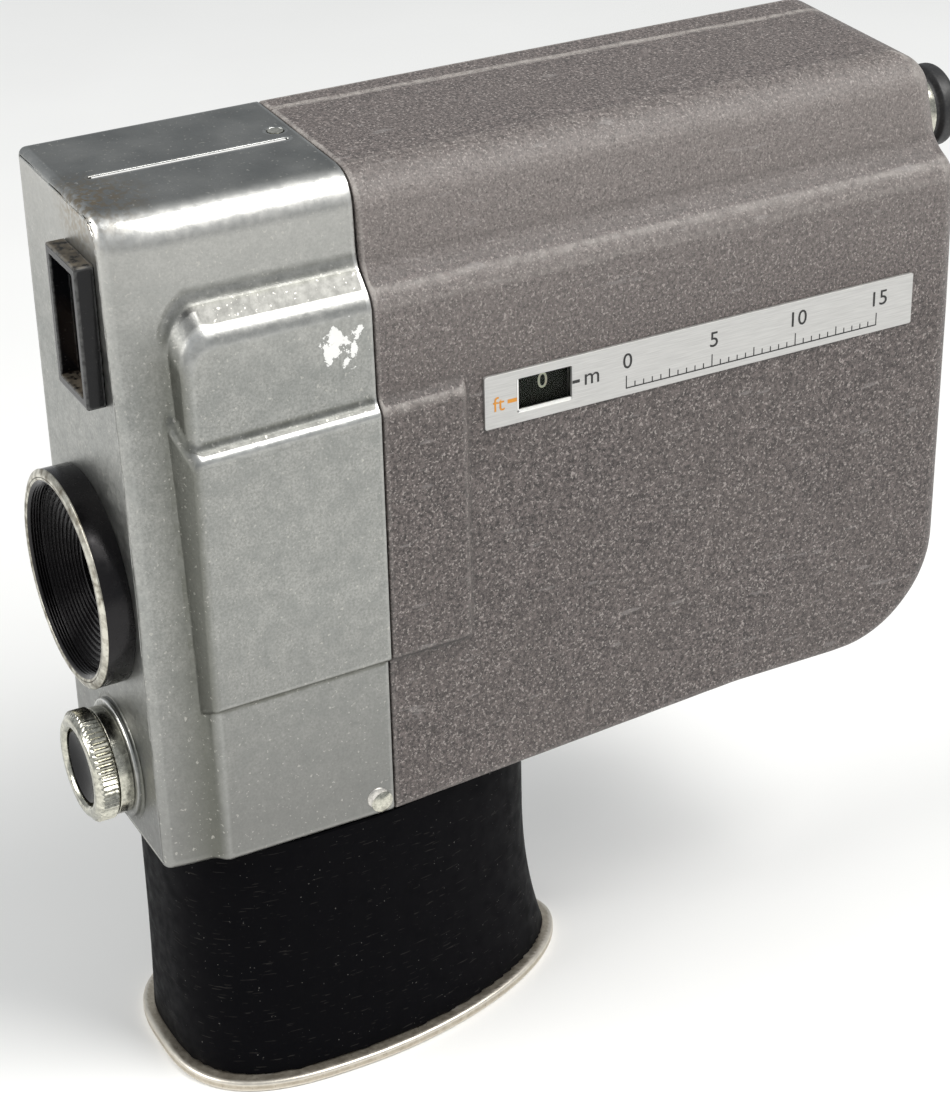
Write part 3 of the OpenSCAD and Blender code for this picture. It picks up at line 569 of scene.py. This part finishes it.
def champagne():
    """Warm silver of the base rim, pitted and bright along its edges."""
    s = Shader("champagne_metal", (0.5, 0.45, 0.37), 0.85, 0.38)
    wear = s.noise(0.9, 5, 0.65)
    tone = s.blend(s.band(wear, 0.3, 0.7), (0.38, 0.33, 0.26), (0.60, 0.55, 0.46))
    pits = s.band(s.noise(2.4, 2), 0.68, 0.72)
    tone = s.blend(s.times(pits, 0.7), tone, (0.14, 0.12, 0.1))
    tone = s.blend(s.times(s.band(s.edge(), 0.3, 1.2), 0.6), tone, (0.86, 0.82, 0.74))
    s.set("Base Color", tone)
    s.set("Roughness", s.band(wear, 0.3, 0.7, 0.32, 0.46))
    s.relief(s.noise(3, 3), 0.02, 0.4)
    return s.material


def glass(name, tint, roughness=0.03, index=1.5):
    """Clear glass with a little haze and a faint waviness."""
    s = Shader(name, tint, 0.0, roughness, Transmission_Weight=1.0, IOR=index)
    haze = s.noise(0.9, 4)
    s.set("Roughness", s.band(haze, 0.4, 0.8, roughness, roughness + 0.1))
    s.relief(s.noise(0.3, 2), 0.004, 0.2)
    return s.material


MAT = {
    "satin_silver": satin_silver(),
    "wrinkle_paint": wrinkle_paint(),
    "grip_black": grip_black(),
    "anodised_black": anodised_black(),
    "rim_metal": rim_metal(),
    "brushed_plate": nameplate_face(),
    "champagne_metal": champagne(),
    "bezel_gloss": bezel_gloss(),
    "optical_glass": glass("optical_glass", (0.72, 0.74, 0.85)),
    "clear_window": glass("clear_window", (0.9, 0.93, 0.9), 0.02, 1.15),
    "steel_plate": metal("steel_plate", (0.55, 0.56, 0.57), 0.36, 0.8, (1, 6, 1)),
    "chrome_plate": metal("chrome_plate", (0.60, 0.59, 0.51), 0.2, 1.4, depth=0.02, tint=0.5),
    "motor_can": metal("motor_can", (0.6, 0.6, 0.6), 0.25, 0.6, (1, 8, 1)),
    "worn_nickel": metal("worn_nickel", (0.66, 0.64, 0.6), 0.42, 2.0, depth=0.03, tint=0.4),
    "brass": metal("brass", (0.78, 0.58, 0.24), 0.28, 1.5),
    "gloss_black": plastic("gloss_black", (0.004, 0.004, 0.005), 0.16, 2.2, (0.02, 0.018, 0.016),
                           Specular_IOR_Level=0.12),
    "matt_black": plastic("matt_black", (0.014, 0.014, 0.015), 0.5, 2.5, (0.06, 0.058, 0.055)),
    "sensor": plastic("sensor", (0.16, 0.10, 0.06), 0.35, 3.0, (0.35, 0.27, 0.18)),
    "cell_wrap": plastic("cell_wrap", (0.42, 0.24, 0.03), 0.3, 0.5, (0.55, 0.36, 0.08)),
    "dial_black": plastic("dial_black", (0.006, 0.008, 0.004), 0.6, 2.0, (0.02, 0.022, 0.014),
                          Specular_IOR_Level=0.1),
    "print_black": plastic("print_black", (0.012, 0.012, 0.012), 0.45, 4.0),
    "print_orange": plastic("print_orange", (0.62, 0.25, 0.02), 0.45, 4.0, (0.72, 0.36, 0.06)),
    "print_white": plastic("print_white", (0.68, 0.66, 0.52), 0.5, 4.0, (0.8, 0.78, 0.66)),
    "edge_white": plastic("edge_white", (0.8, 0.8, 0.78), 0.3, 3.0, (0.92, 0.92, 0.9)),
}

# CAD nodes that keep their own shape get the finish that the record names
for row in frame["record"]["subparts"]:
    holder = frame["nodes"][row["node"]]
    for one in holder if isinstance(holder, (list, tuple)) else [holder]:
        one.data.materials.clear()
        one.data.materials.append(MAT[row["material_slot"]])

# ---- body shells ------------------------------------------------------------------------------

LEDGE_Z = 82.4
WALL = 1.6
PAD_RISE = 1.2
RISE = 3.8          # how far the lower edge rises between the seam and RISE_END
RISE_END = 96
GRIP_Y = 28.9
GROOVE_X = 14.3
GROOVE_SCREW = (10.9, 33.2)
HINGE = (-1.86, 36.0)
HINGE_R = 1.05
PIN_GAP = 0.3
HOUSING_KNUCKLES = (20, 50, 80)
DOOR_KNUCKLES = (35, 65)


def lower_line(y):
    """Height of the body's lower edge."""
    return RISE * np.clip((y - SEAM) / (RISE_END - SEAM), 0, 1)


def near_wall(x, z):
    out = x - BODY_W
    return np.maximum(out, out + (z - 60) * 0.0223)


def upper_wall(x, z):
    return (x - 31.5 + (z - 85.6) * 0.0972) * 0.9953


def ledge(x, z):
    return ((x - 34.75) + (z - LEDGE_Z)) * 0.7071


def top_face(x, z):
    return (z - TOP + TOP_SLOPE * (x - 4)) * 0.9996


def rear_shape(x, y, z):
    """The wide rear body with its ledge, which runs along the side and round the back."""
    edge = 1.3 + 1.3 * np.clip((y - 114) / 14, 0, 1)
    bottom = (lower_line(y) - z) * 0.998
    heel = cut(y - REAR, bottom, 17.0)
    wide = cut(near_wall(x, z), heel, edge)
    slope = cut(ledge(x, z), ((y - REAR) * 0.9 + (z - 82.6) * 0.44), 2.4)
    wide = cut(cut(wide, slope, 1.3), z - 89)
    back = (y - REAR + 3.2 - (99.5 - z) * 0.15) * 0.989
    narrow = cut(cut(upper_wall(x, z), back, 3.2), top_face(x, z), 5.0)
    narrow = np.maximum(narrow, 70 - z)
    return join(wide, narrow, 1.1)


def rear_outer(x, y, z):
    return cut(rear_shape(x, y, z), FAR - x, 1.4)


def band_walls(x, y, z):
    """The front band as a tube, drawn in a little towards the front face on the nameplate side."""
    drawn = x + (1.0 + 0.6 * np.clip((z - 60) / 25, 0, 1)) * np.clip(1 - y / 9, 0, 1) ** 2
    side = cut((drawn - 34 + z * 0.0292) * 0.9996, upper_wall(drawn, z), 3.0)
    shape = cut(cut(side, top_face(x, z), 5.0), -z, 1.8)
    return cut(shape, FAR - x, 1.4)


def band_outer(x, y, z):
    """The front band without its step."""
    return cut(band_walls(x, y, z), -y, 1.15)


def step_outer(x, y, z):
    """The raised step on the nameplate side."""
    front = ((7.2 - y) * 3.9 + (x - 31.3) * 1.1) / 4.05
    walls = cut(cut(ledge(x, z), front, 4.2), near_wall(x, z), 1.2)
    walls = cut(walls, -z, 1.3)
    return np.maximum(np.maximum(walls, 26 - x), y - 60)


def pad_outer(x, y, z):
    """The pad that runs across the seam."""
    out = x - BODY_W
    front = (7.6 - y + out * 0.4) * 0.93
    rear = (y - 49.2 + out * 0.35) * 0.94
    low = (26.0 + 0.016 * (y - 8) - z + out * 0.45) * 0.91
    high = (z - 66.9 - 0.028 * (y - 8) + out * 1.1) * 0.67
    sides = cut(cut(front, high, 1.2), cut(rear, low, 0.7), 0.6)
    return np.maximum(cut(sides, out - PAD_RISE, 0.42), 30 - x)


def battery_bay(x, y):
    """The upright well for the cells, which runs from the grip up into the body."""
    return cut(np.abs(x - BODY_W / 2) - 15, np.abs(y - GRIP_Y) - 15, 7.6)


def finder_opening(x, y, z, front, back, r):
    return brick(x, y, z, (16.8, front, 73.5), (25.2, back, 91.2), r)


def front_outer(x, y, z):
    shape = join(band_outer(x, y, z), step_outer(x, y, z), 1.0)
    return join(shape, pad_outer(x, y, z), 0.45)


def front_cavity(x, y, z):
    wide = brick(x, y, z, (18, 10.6, 2.2), (33.6, 60, 79.4), 1.0)
    return np.minimum(np.maximum(band_walls(x, y, z) + 2.2, 1.6 - y), wide)


def front_housing(x, y, z):
    solid = cut(front_outer(x, y, z), y - SEAM, 0.25)
    solid = np.maximum(solid, -front_cavity(x, y, z))
    frame_hole = np.maximum(band_walls(x, 0 * y, z) + 1.0, y - 1.7)
    solid = np.maximum(solid, -frame_hole)
    solid = np.maximum(solid, -np.maximum(battery_bay(x, y), z - 6))
    # groove along the top, with a round recess behind it
    along = np.hypot(x - GROOVE_X, np.maximum(np.maximum(4.9 - y, y - 33.3), 0)) - 0.40
    solid = cut(solid, -np.maximum(along, 99.05 - z), 0.12)
    solid = cut(solid, -rod(x, y, z, GROOVE_SCREW, 1.2, 99.0, 110), 0.15)
    for middle in DOOR_KNUCKLES:
        solid = np.maximum(solid, -rod(x, y, z, HINGE, HINGE_R + PIN_GAP, middle - 10, middle + 10))
    for middle in HOUSING_KNUCKLES:
        low, high = middle - 4.8, middle + 4.8
        leaf = brick(x, y, z, (HINGE[0], 34, low), (FAR + 0.6, 35.6, high))
        solid = np.minimum(np.minimum(solid, rod(x, y, z, HINGE, HINGE_R, low, high)), leaf)
    return solid


def front_plate(x, y, z):
    solid = cut(front_outer(x, y, z), y - 1.6)
    solid = np.maximum(solid, band_walls(x, 0 * y, z) + 1.04)
    boss = cut(np.hypot(x - KNOB[0], z - KNOB[1]) - 9.0, -1.0 - y, 0.3)
    solid = join(solid, np.maximum(boss, y - 1.0), 0.35)
    solid = cut(solid, -(np.hypot(x - LENS[0], z - LENS[1]) - 11.05), 0.1)
    solid = cut(solid, -(np.hypot(x - KNOB[0], z - KNOB[1]) - 6.7), 0.1)
    return np.maximum(solid, -finder_opening(x, y, z, -3, 4, 0.2))


def seam_line(y):
    """Where the film door meets the housing on the top and the bottom."""
    return 3.3 + 0.0235 * (y - 42)


def rear_cavity(x, y, z):
    return rear_shape(x, np.maximum(y, 36.5), z) + WALL


def main_housing(x, y, z):
    outer = join(rear_outer(x, y, z), pad_outer(x, y, z), 0.45)
    solid = cut(outer, (SEAM + 0.22) - y, 0.3)
    solid = cut(solid, seam_line(y) + 0.1 - x, 0.2)
    solid = np.maximum(solid, -np.maximum(rear_cavity(x, y, z), FAR + WALL - x))
    for py in (44, 110):
        for pz in (24, 74):
            solid = np.minimum(solid, rod(y, z, x, (py, pz), 2.2, 26.75, 34.0))
    solid = np.maximum(solid, -np.maximum(battery_bay(x, y), z - 6))
    solid = np.maximum(solid, -brick(x, y, z, (32.5, 56.9, 60.6), (37, 66.3, 66.4), 0.2))
    solid = cut(solid, -rod(x, z, y, FINDER, 5.65, 118, 140), 0.2)
    return np.maximum(solid, -brick(x, y, z, (8.0, REAR - 3, 38), (10.6, REAR + 2, 51), 0.2))


def film_door(x, y, z):
    outer = rear_outer(x, y, z)
    solid = cut(outer, (SEAM + 0.22) - y, 0.3)
    solid = cut(solid, x - seam_line(y) + 0.1, 0.2)
    solid = np.maximum(solid, -np.maximum(rear_cavity(x, y, z), FAR + WALL - x))
    solid = np.maximum(solid, -brick(x, y, z, (1.8, 30, -2), (8, 46, 12)))
    for middle in HOUSING_KNUCKLES:
        solid = np.maximum(solid, -rod(x, y, z, HINGE, HINGE_R + PIN_GAP, middle - 5.1, middle + 5.1))
    for middle in DOOR_KNUCKLES:
        low, high = middle - 9.7, middle + 9.7
        leaf = brick(x, y, z, (HINGE[0], 36.05, low), (FAR + 0.6, 38, high))
        solid = np.minimum(np.minimum(solid, rod(x, y, z, HINGE, HINGE_R, low, high)), leaf)
    return solid


coarser = 1.0
skin(
    "front_casting", front_housing,
    lines(-3.4, 37.4, 1.6 * coarser,
          ((-3.1, 1.2, 0.36), (13.5, 15.1, 0.16), (9.2, 12.4, 0.3), (28, 36.8, 0.28))),
    lines(-0.9, 37.2, 1.6 * coarser,
          ((-0.5, 2.0, 0.25), (3.9, 5.9, 0.3), (6.6, 10, 0.35), (31.7, 36.3, 0.3))),
    lines(-1.0, 101.2, 1.7 * coarser,
          ((-0.6, 3.4, 0.35), (24.6, 27, 0.3), (62.8, 67.8, 0.35), (73, 86.5, 0.5), (93.5, 100.4, 0.3))),
    "camera_body", MAT["satin_silver"], ("front_housing",))
skin(
    "front_face", front_plate,
    lines(-1.2, 34, 1.2 * coarser, ((-0.9, 1.2, 0.3), (8, 10, 0.4), (26, 33.5, 0.4))),
    lines(-1.6, 2.4, 0.25),
    lines(-0.2, 100.4, 1.3 * coarser, ((0.6, 22, 0.55), (28, 52, 0.7), (73, 92, 0.6), (94, 99.6, 0.35))),
    "camera_body", MAT["satin_silver"], ("front_plate",))

rear_ys = lines(34.9, 135.2, 1.9 * coarser,
                ((35.2, 37.2, 0.25), (47.6, 50.4, 0.3), (56.4, 66.8, 0.6), (118, 134.0, 0.55)))
rear_zs = lines(
    -1.0, 101.2, 1.8 * coarser,
    ((-0.6, 5.6, 0.5), (24.8, 27.4, 0.3), (60.2, 69.5, 0.4), (79.5, 88.5, 0.4), (94, 100.4, 0.35)))
skin(
    "rear_casting", main_housing,
    lines(1.5, 37.4, 1.5 * coarser, ((2.6, 6.2, 0.4), (25, 36.8, 0.32))),
    rear_ys, rear_zs, "camera_body", MAT["wrinkle_paint"], ("main_housing",))
skin(
    "door_casting", film_door, lines(-3.4, 7.4, 0.40), rear_ys, rear_zs,
    "film_door", MAT["wrinkle_paint"], ("film_door",))

# ---- grip -------------------------------------------------------------------------------------

# half width, reach to the front and reach to the rear of the grip's plan
BASE = (20.55, 27.3, 42.1)
NECK = (16.9, 25.4, 36.6)
BASE_T = 1.8


def oval(x, y, half, front, rear, rear_power):
    """Signed distance, close to the outline, from a plan of two half ovals."""
    u = np.abs(x - BODY_W / 2) / half
    v = (y - GRIP_Y) / np.where(y < GRIP_Y, front, rear)
    n = np.where(y < GRIP_Y, 2.87, rear_power)
    v = np.abs(v)
    big = (np.maximum(u, 1e-6) ** n + np.maximum(v, 1e-6) ** n) ** (1 / n)
    gu = (np.maximum(u, 1e-6) / big) ** (n - 1) / half
    gv = (np.maximum(v, 1e-6) / big) ** (n - 1) / np.where(y < GRIP_Y, front, rear)
    return (big - 1) / np.maximum(np.hypot(gu, gv), 0.012)


def flare(z):
    f = np.clip((-0.3 - z) / (GRIP_H - BASE_T - 0.3), 0, 1)
    return np.clip((f - 0.35) / 0.65, 0, None) ** 2.2


def grip_side(x, y, z):
    f = flare(z)
    sizes = [n + (b - 1.7 - n) * f for n, b in zip(NECK, BASE)]
    return oval(x, y, *sizes, 2 - 0.13 * f)


def grip_shell(x, y, z):
    top = z + 0.25 - np.maximum(y - SEAM, 0) * RISE / (RISE_END - SEAM)
    solid = cut(grip_side(x, y, z), top)
    solid = np.maximum(solid, -GRIP_H + BASE_T - z)
    solid = np.maximum(solid, -battery_bay(x, y))
    return np.maximum(solid, -rod(x, y, z, (17.6, 54), 6.1, -50, -GRIP_H + 9.2))


def grip_base(x, y, z):
    low = -GRIP_H - z
    high = z + GRIP_H - BASE_T
    solid = cut(cut(oval(x, y, *BASE, 1.87), high, 0.55), low, 0.45)
    solid = cut(solid, -brick(x, y, z, (1.1, 12.4, -50), (34.1, 45.4, -30), 0.3), 0.15)
    solid = cut(solid, -(np.hypot(x - 17.6, y - 54) - 4.4), 0.15)
    for sx, sy in ((17.6, 6.6), (9.0, 61), (26.2, 61)):
        solid = cut(solid, -np.maximum(np.hypot(x - sx, y - sy) - 1.9, z + GRIP_H - 1.0), 0.1)
    return solid


skin(
    "grip_moulding", grip_shell, lines(-3.2, 38.4, 0.9 * coarser), lines(0.2, 71.6, 1.0 * coarser),
    lines(-42.2, 3.4, 1.2 * coarser, ((-42, -40.6, 0.4), (-1, 2.6, 0.4))),
    "camera_body", MAT["grip_black"], ("grip_shell",))
skin(
    "base_rim", grip_base, lines(-3.9, 39.1, 0.6 * coarser), lines(0.6, 72.2, 0.6 * coarser),
    lines(-GRIP_H - 0.5, -GRIP_H + 2.4, 0.18),
    "camera_body", MAT["champagne_metal"], ("grip_base",))

# ---- lens -------------------------------------------------------------------------------------

barrel = [(14.45, -4.45), (14.9, -4.6), (15.1, -4.6, 0.02), (15.1, -4.35, 0.02), (16.15, -4.05, 0.1),
          (16.15, -0.02), (11.05, -0.02), (11.05, 3.9), (10.45, 3.9), (10.45, -0.8), (13.9, -0.8),
          (13.9, -2.6)]
threads = []
for i in range(4):
    threads += [(14.35, -2.7 - i * 0.42), (14.02, -2.9 - i * 0.42)]
turn("lens_barrel", LENS, barrel + threads, "camera_body", MAT["anodised_black"],
     ("lens_ring",), 176, radius=0.08)
turn("barrel_rim", LENS,
     [(14.5, -4.4), (14.7, -4.6), (15.45, -4.6), (16.2, -4.2), (16.2, -4.0), (15.6, -3.9)],
     "camera_body", MAT["rim_metal"], (), 176, radius=0.12)
ridges = []
for i in range(10):
    r, y = 13.4 - 0.75 * i, -2.55 + 0.3 * i
    ridges += [(r, y, 0.06), (r, y + 0.3, 0.02), (r - 0.45, y + 0.38, 0.02)]
turn("light_baffle", LENS, ridges + [(6.65, 3.4), (10.3, 3.4), (10.3, -0.85), (13.85, -0.85), (13.85, -2.55)],
     "camera_body", MAT["anodised_black"], ("lens_baffle",), 144, radius=0.05)

# ---- knob -------------------------------------------------------------------------------------


KNURL_TEETH = 60


def knurl(r, y, angle):
    """Straight knurling on the ring's edge, which fades out towards both ends."""
    tooth = np.abs(((angle * KNURL_TEETH / (2 * math.pi)) % 1.0) - 0.5) * 2
    ends = np.clip((-y - 3.25) / 0.1, 0, 1) * np.clip((y + 6.1) / 0.35, 0, 1)
    depth = 0.34 * np.clip((r - 7.9) / 0.3, 0, 1) * ends
    return -depth * np.clip(1.35 * tooth - 0.2, 0, 1)


turn("knob_collar", KNOB, [(8.1, -1.02), (8.1, -3.15), (6.7, -3.15), (6.6, -5), (5.5, -5), (5.5, 4.5),
                           (2.12, 4.5), (2.12, 6), (6.55, 6), (6.55, -1.02)],
     "camera_body", MAT["chrome_plate"], ("release_collar",), 128, radius=0.15)
turn("knob_ring", KNOB,
     [(6.72, -3.3), (8.1, -3.3), (8.42, -3.5, 0.05), (8.42, -4.0, 0.01), (8.42, -4.6, 0.01),
      (8.42, -5.2, 0.01), (8.42, -5.75, 0.05), (7.75, -6.25, 0.2), (7.3, -6.7, 0.3), (6.3, -6.68, 0.2),
      (5.85, -6.2), (5.85, -5.15), (6.72, -5.15)],
     "lock_ring", MAT["chrome_plate"], ("lock_ring",), KNURL_TEETH * 6, knurl, radius=0.1)
dish = [(5.4 * i / 12, -6.0 + 1.05 * (1 - (i / 12) ** 2)) for i in range(13)]
turn("button_cap", KNOB, [(5.45, -5.7), (5.45, -2.8), (2.03, -2.8), (2.03, 8.6), (0.0, 8.6)] + dish,
     "release_button", MAT["gloss_black"], ("release_button",), 96, closed=False, radius=0.0)

# ---- viewfinder -------------------------------------------------------------------------------


def bezel(x, y, z):
    solid = brick(x, y, z, (15.5, -2.8, 72), (26.5, 0.6, 92.5), 0.35)
    solid = np.maximum(solid, y + 0.02)
    return cut(solid, -finder_opening(x, y, z, -4, 1, 0.25), 0.16)


skin("finder_bezel", bezel, lines(15.0, 27.0, 0.24), lines(-3.2, 0.5, 0.2),
     lines(71.5, 93.0, 0.5, ((71.6, 74, 0.22), (80.8, 83.8, 0.22), (90.8, 92.9, 0.22))),
     "camera_body", MAT["bezel_gloss"], ("viewfinder_bezel",))
turn("eyecup", FINDER, [(3.6, 130.6), (5.5, 130.6), (5.5, 134.8, 0.3), (6.3, 135.4, 0.3), (6.3, 137.4, 0.4),
                        (5.8, 138.0, 0.4), (5.1, 138.0, 0.3), (4.65, 135.7), (4.65, 134.4), (3.6, 134.4)],
     "camera_body", MAT["matt_black"], ("eyepiece",), 96, radius=0.12)
turn("eyecup_band", FINDER, [(5.45, 131.6), (5.62, 131.6), (5.62, 134.3), (5.45, 134.3)],
     "camera_body", MAT["chrome_plate"], (), 96, radius=0.05)

# ---- screw heads and groove line --------------------------------------------------------------


def dome(name, centre, across, radius, height, material, sides=48):
    """A low round head; across tells which body axis it stands on (0 for X, 2 for Z)."""
    profile = [(radius * math.sin(a), height * math.cos(a)) for a in np.linspace(0, math.pi / 2, 9)]
    profile.append((radius, -0.4))
    points, faces = [], []
    for r, h in profile:
        for k in range(sides):
            u, v = r * math.cos(2 * math.pi * k / sides), r * math.sin(2 * math.pi * k / sides)
            place = (h, u, v) if across == 0 else (u, v, h)
            points.append(np.add(centre, place))
    for i in range(len(profile) - 1):
        for k in range(sides):
            n = (k + 1) % sides
            faces.append((i * sides + k, i * sides + n, (i + 1) * sides + n, (i + 1) * sides + k))
    piece = mesh_object(name, points, faces, "camera_body", material)
    tidy_normals(piece, 40)


dome("side_screw_head", (BODY_W, 33.0, 3.4), 0, 1.7, 0.32, MAT["worn_nickel"])
dome("top_screw_head", (*GROOVE_SCREW, 99.1), 2, 1.05, 0.35, MAT["worn_nickel"])
# A white strip in the top groove: white filling in the engraving, and a painted highlight that stands for the
# groove's lit far wall.
groove = [(GROOVE_X + side, y) for side, y in ((-0.2, 5.0), (0.2, 5.0), (0.2, 33.2), (-0.2, 33.2))]
groove_top = TOP - TOP_SLOPE * (GROOVE_X - 4) - 0.08
mesh_object("groove_line", [(x, y, z) for z in (groove_top, groove_top - 0.3) for x, y in groove],
            [(0, 1, 2, 3), (7, 6, 5, 4), (0, 4, 5, 1), (1, 5, 6, 2), (2, 6, 7, 3), (3, 7, 4, 0)],
            "camera_body", MAT["edge_white"], smooth=False)

# ---- nameplate --------------------------------------------------------------------------------

PLATE_X = BODY_W + 0.35
WINDOW = (57.2, 66.0, 60.9, 66.1)  # y, y, z, z of the counter's opening
PLATE = ((52.0, 59.3), (125.0, 67.5))  # y and z of its lower and upper corners


def nameplate(x, y, z):
    solid = brick(x, y, z, (BODY_W - 0.24, *PLATE[0]), (PLATE_X, *PLATE[1]), 0.06)
    solid = np.maximum(solid, brick(x, y, z, (BODY_W - 2, *PLATE[0]), (PLATE_X + 2, *PLATE[1]), 0.35))
    return cut(solid, -brick(x, y, z, (30, WINDOW[0], WINDOW[2]), (40, WINDOW[1], WINDOW[3]), 0.15), 0.05)


skin("name_plate", nameplate, lines(BODY_W - 0.6, PLATE_X + 0.25, 0.09),
     lines(51.6, 125.4, 1.6, ((51.7, 53, 0.15), (56.6, 66.6, 0.3), (124.2, 125.3, 0.15))),
     lines(58.9, 67.9, 0.8, ((59, 61.4, 0.15), (65.6, 67.8, 0.15))),
     "camera_body", MAT["brushed_plate"], ("nameplate",))


def flat_marks(name, boxes, level, thick, material):
    """Thin flat blocks on the nameplate side, each given as y and z of two corners."""
    points, faces = [], []
    for y0, z0, y1, z1 in boxes:
        n = len(points)
        for x in (level, level + thick):
            points += [(x, y0, z0), (x, y1, z0), (x, y1, z1), (x, y0, z1)]
        faces += [(n + 4, n + 5, n + 6, n + 7), (n, n + 3, n + 2, n + 1), (n, n + 1, n + 5, n + 4),
                  (n + 1, n + 2, n + 6, n + 5), (n + 2, n + 3, n + 7, n + 6), (n + 3, n, n + 4, n + 7)]
    mesh_object(name, points, faces, "camera_body", material, smooth=False)


def sign(name, words, size, y, z, x, material, body="camera_body"):
    """Numerals or a unit mark that stand on the nameplate side and read along +Y."""
    curve = bpy.data.curves.new(name, "FONT")
    curve.body = words
    curve.size = size / 1000
    curve.align_x = "CENTER"
    curve.align_y = "CENTER"
    curve.extrude = 0.00003
    curve.resolution_u = 4
    holder = bpy.data.objects.new(name + "_curve", curve)
    bpy.context.scene.collection.objects.link(holder)
    bpy.context.view_layer.update()
    mesh = bpy.data.meshes.new_from_object(holder)
    bpy.data.objects.remove(holder)
    turned = Matrix(((0, 0, 1, 0), (1, 0, 0, 0), (0, 1, 0, 0), (0, 0, 0, 1)))
    mesh.transform(Matrix.Translation(spot(x, y, z)) @ turned)
    mesh.name = name
    return settle(bpy.data.objects.new(name, mesh), body, material)


SCALE_START = 75
TICK_GAP = 1.45
TICKS = 30
TICK_HALF = 0.09
PRINT_X = PLATE_X + 0.01
ticks = []
for i in range(TICKS + 1):
    y = SCALE_START + i * TICK_GAP
    tall = 1.9 if i % 10 == 0 else (1.35 if i % 5 == 0 else 0.8)
    ticks.append((y - TICK_HALF, 60.5, y + TICK_HALF, 60.5 + tall))
ticks.append((SCALE_START - TICK_HALF, 60.35, SCALE_START + TICKS * TICK_GAP + TICK_HALF, 60.55))
ticks.append((66.1, 63.25, 67.3, 63.75))
flat_marks("plate_scale", ticks, PLATE_X - 0.02, 0.035, MAT["print_black"])
flat_marks("window_sill", [(WINDOW[0], WINDOW[2], WINDOW[1], WINDOW[2] + 0.3),
                           (WINDOW[0], WINDOW[2], WINDOW[0] + 0.25, WINDOW[3])],
           PLATE_X - 0.4, 0.3, MAT["edge_white"])
flat_marks("plate_mark", [(55.6, 62.75, 57.1, 63.35)], PLATE_X - 0.02, 0.035, MAT["print_orange"])
for i, number in enumerate(("0", "5", "10", "15")):
    y = SCALE_START + i * 10 * TICK_GAP + (0.3 if i else 0.2)
    sign(f"plate_number_{number}", number, 3.4, y, 64.6, PRINT_X, MAT["print_black"])
sign("plate_unit_m", "m", 3.6, 69.3, 63.7, PRINT_X, MAT["print_black"])
sign("plate_unit_ft", "ft", 3.2, 54.2, 62.9, PRINT_X, MAT["print_orange"])
DIAL_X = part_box("counter_disc")[1][0] * 1000 - ORIGIN[0] + 0.02
sign("dial_number", "0", 3.5, 62.6, 63.6, DIAL_X, MAT["print_white"], "counter")
sign("dial_number_ft", "0", 3.6, 57.9, 63.0, DIAL_X, MAT["print_orange"], "counter")

# ---- camera, light and floor ------------------------------------------------------------------

EYE = Vector((0.31947, -0.17094, 0.27214))
TURN = Vector((1.8488, 1.098, -0.6718))  # turns the scene into view: axis times angle in radians

look = Matrix.Rotation(TURN.length, 3, TURN.normalized())
camera_data = bpy.data.cameras.new("camera")
camera_data.sensor_width = 36
camera_data.sensor_fit = "AUTO"
camera_data.lens = 88.37
camera_data.clip_start = 0.01
camera = bpy.data.objects.new("camera", camera_data)
bpy.context.scene.collection.objects.link(camera)
stance = Matrix((look[0], -look[1], -look[2])).transposed()
camera.matrix_world = Matrix.Translation(EYE) @ stance.to_4x4()
bpy.context.scene.camera = camera


def lamp(name, place, target, size, power, colour):
    data = bpy.data.lights.new(name, "AREA")
    data.shape = "RECTANGLE"
    data.size = size
    data.size_y = size
    data.energy = power
    data.color = colour
    light = bpy.data.objects.new(name, data)
    bpy.context.scene.collection.objects.link(light)
    light.matrix_world = Matrix.Translation(Vector(place)) @ (
        (Vector(target) - Vector(place)).to_track_quat("-Z", "Y").to_matrix().to_4x4())


lamp("overhead", (0.46, 0.36, 0.86), (0, 0, 0.05), 0.5, 8.5, (1, 0.985, 0.96))
lamp("front_left", (-0.1, -1.0, 0.7), (0, 0, 0.07), 0.6, 8.5, (1, 0.985, 0.955))
bpy.context.scene.view_settings.view_transform = "Standard"

floor_mesh = bpy.data.meshes.new("floor")
floor_mesh.from_pydata([(-4, -4, 0), (4, -4, 0), (4, 4, 0), (-4, 4, 0)], [], [(0, 1, 2, 3)])
floor = bpy.data.objects.new("floor", floor_mesh)
floor_shader = Shader("floor_pale", (0.9, 0.9, 0.89), 0.0, 0.8)
patches = floor_shader.blend(floor_shader.noise(0.02, 2), (0.88, 0.88, 0.87), (0.92, 0.92, 0.91))
floor_shader.set("Base Color", patches)
floor_mesh.materials.append(floor_shader.material)
bpy.context.scene.collection.objects.link(floor)

world = bpy.data.worlds.new("studio")
world.use_nodes = True
bpy.context.scene.world = world
background = world.node_tree.nodes["Background"]
background.inputs["Color"].default_value = (0.8, 0.83, 0.86, 1)
background.inputs["Strength"].default_value = 0.5
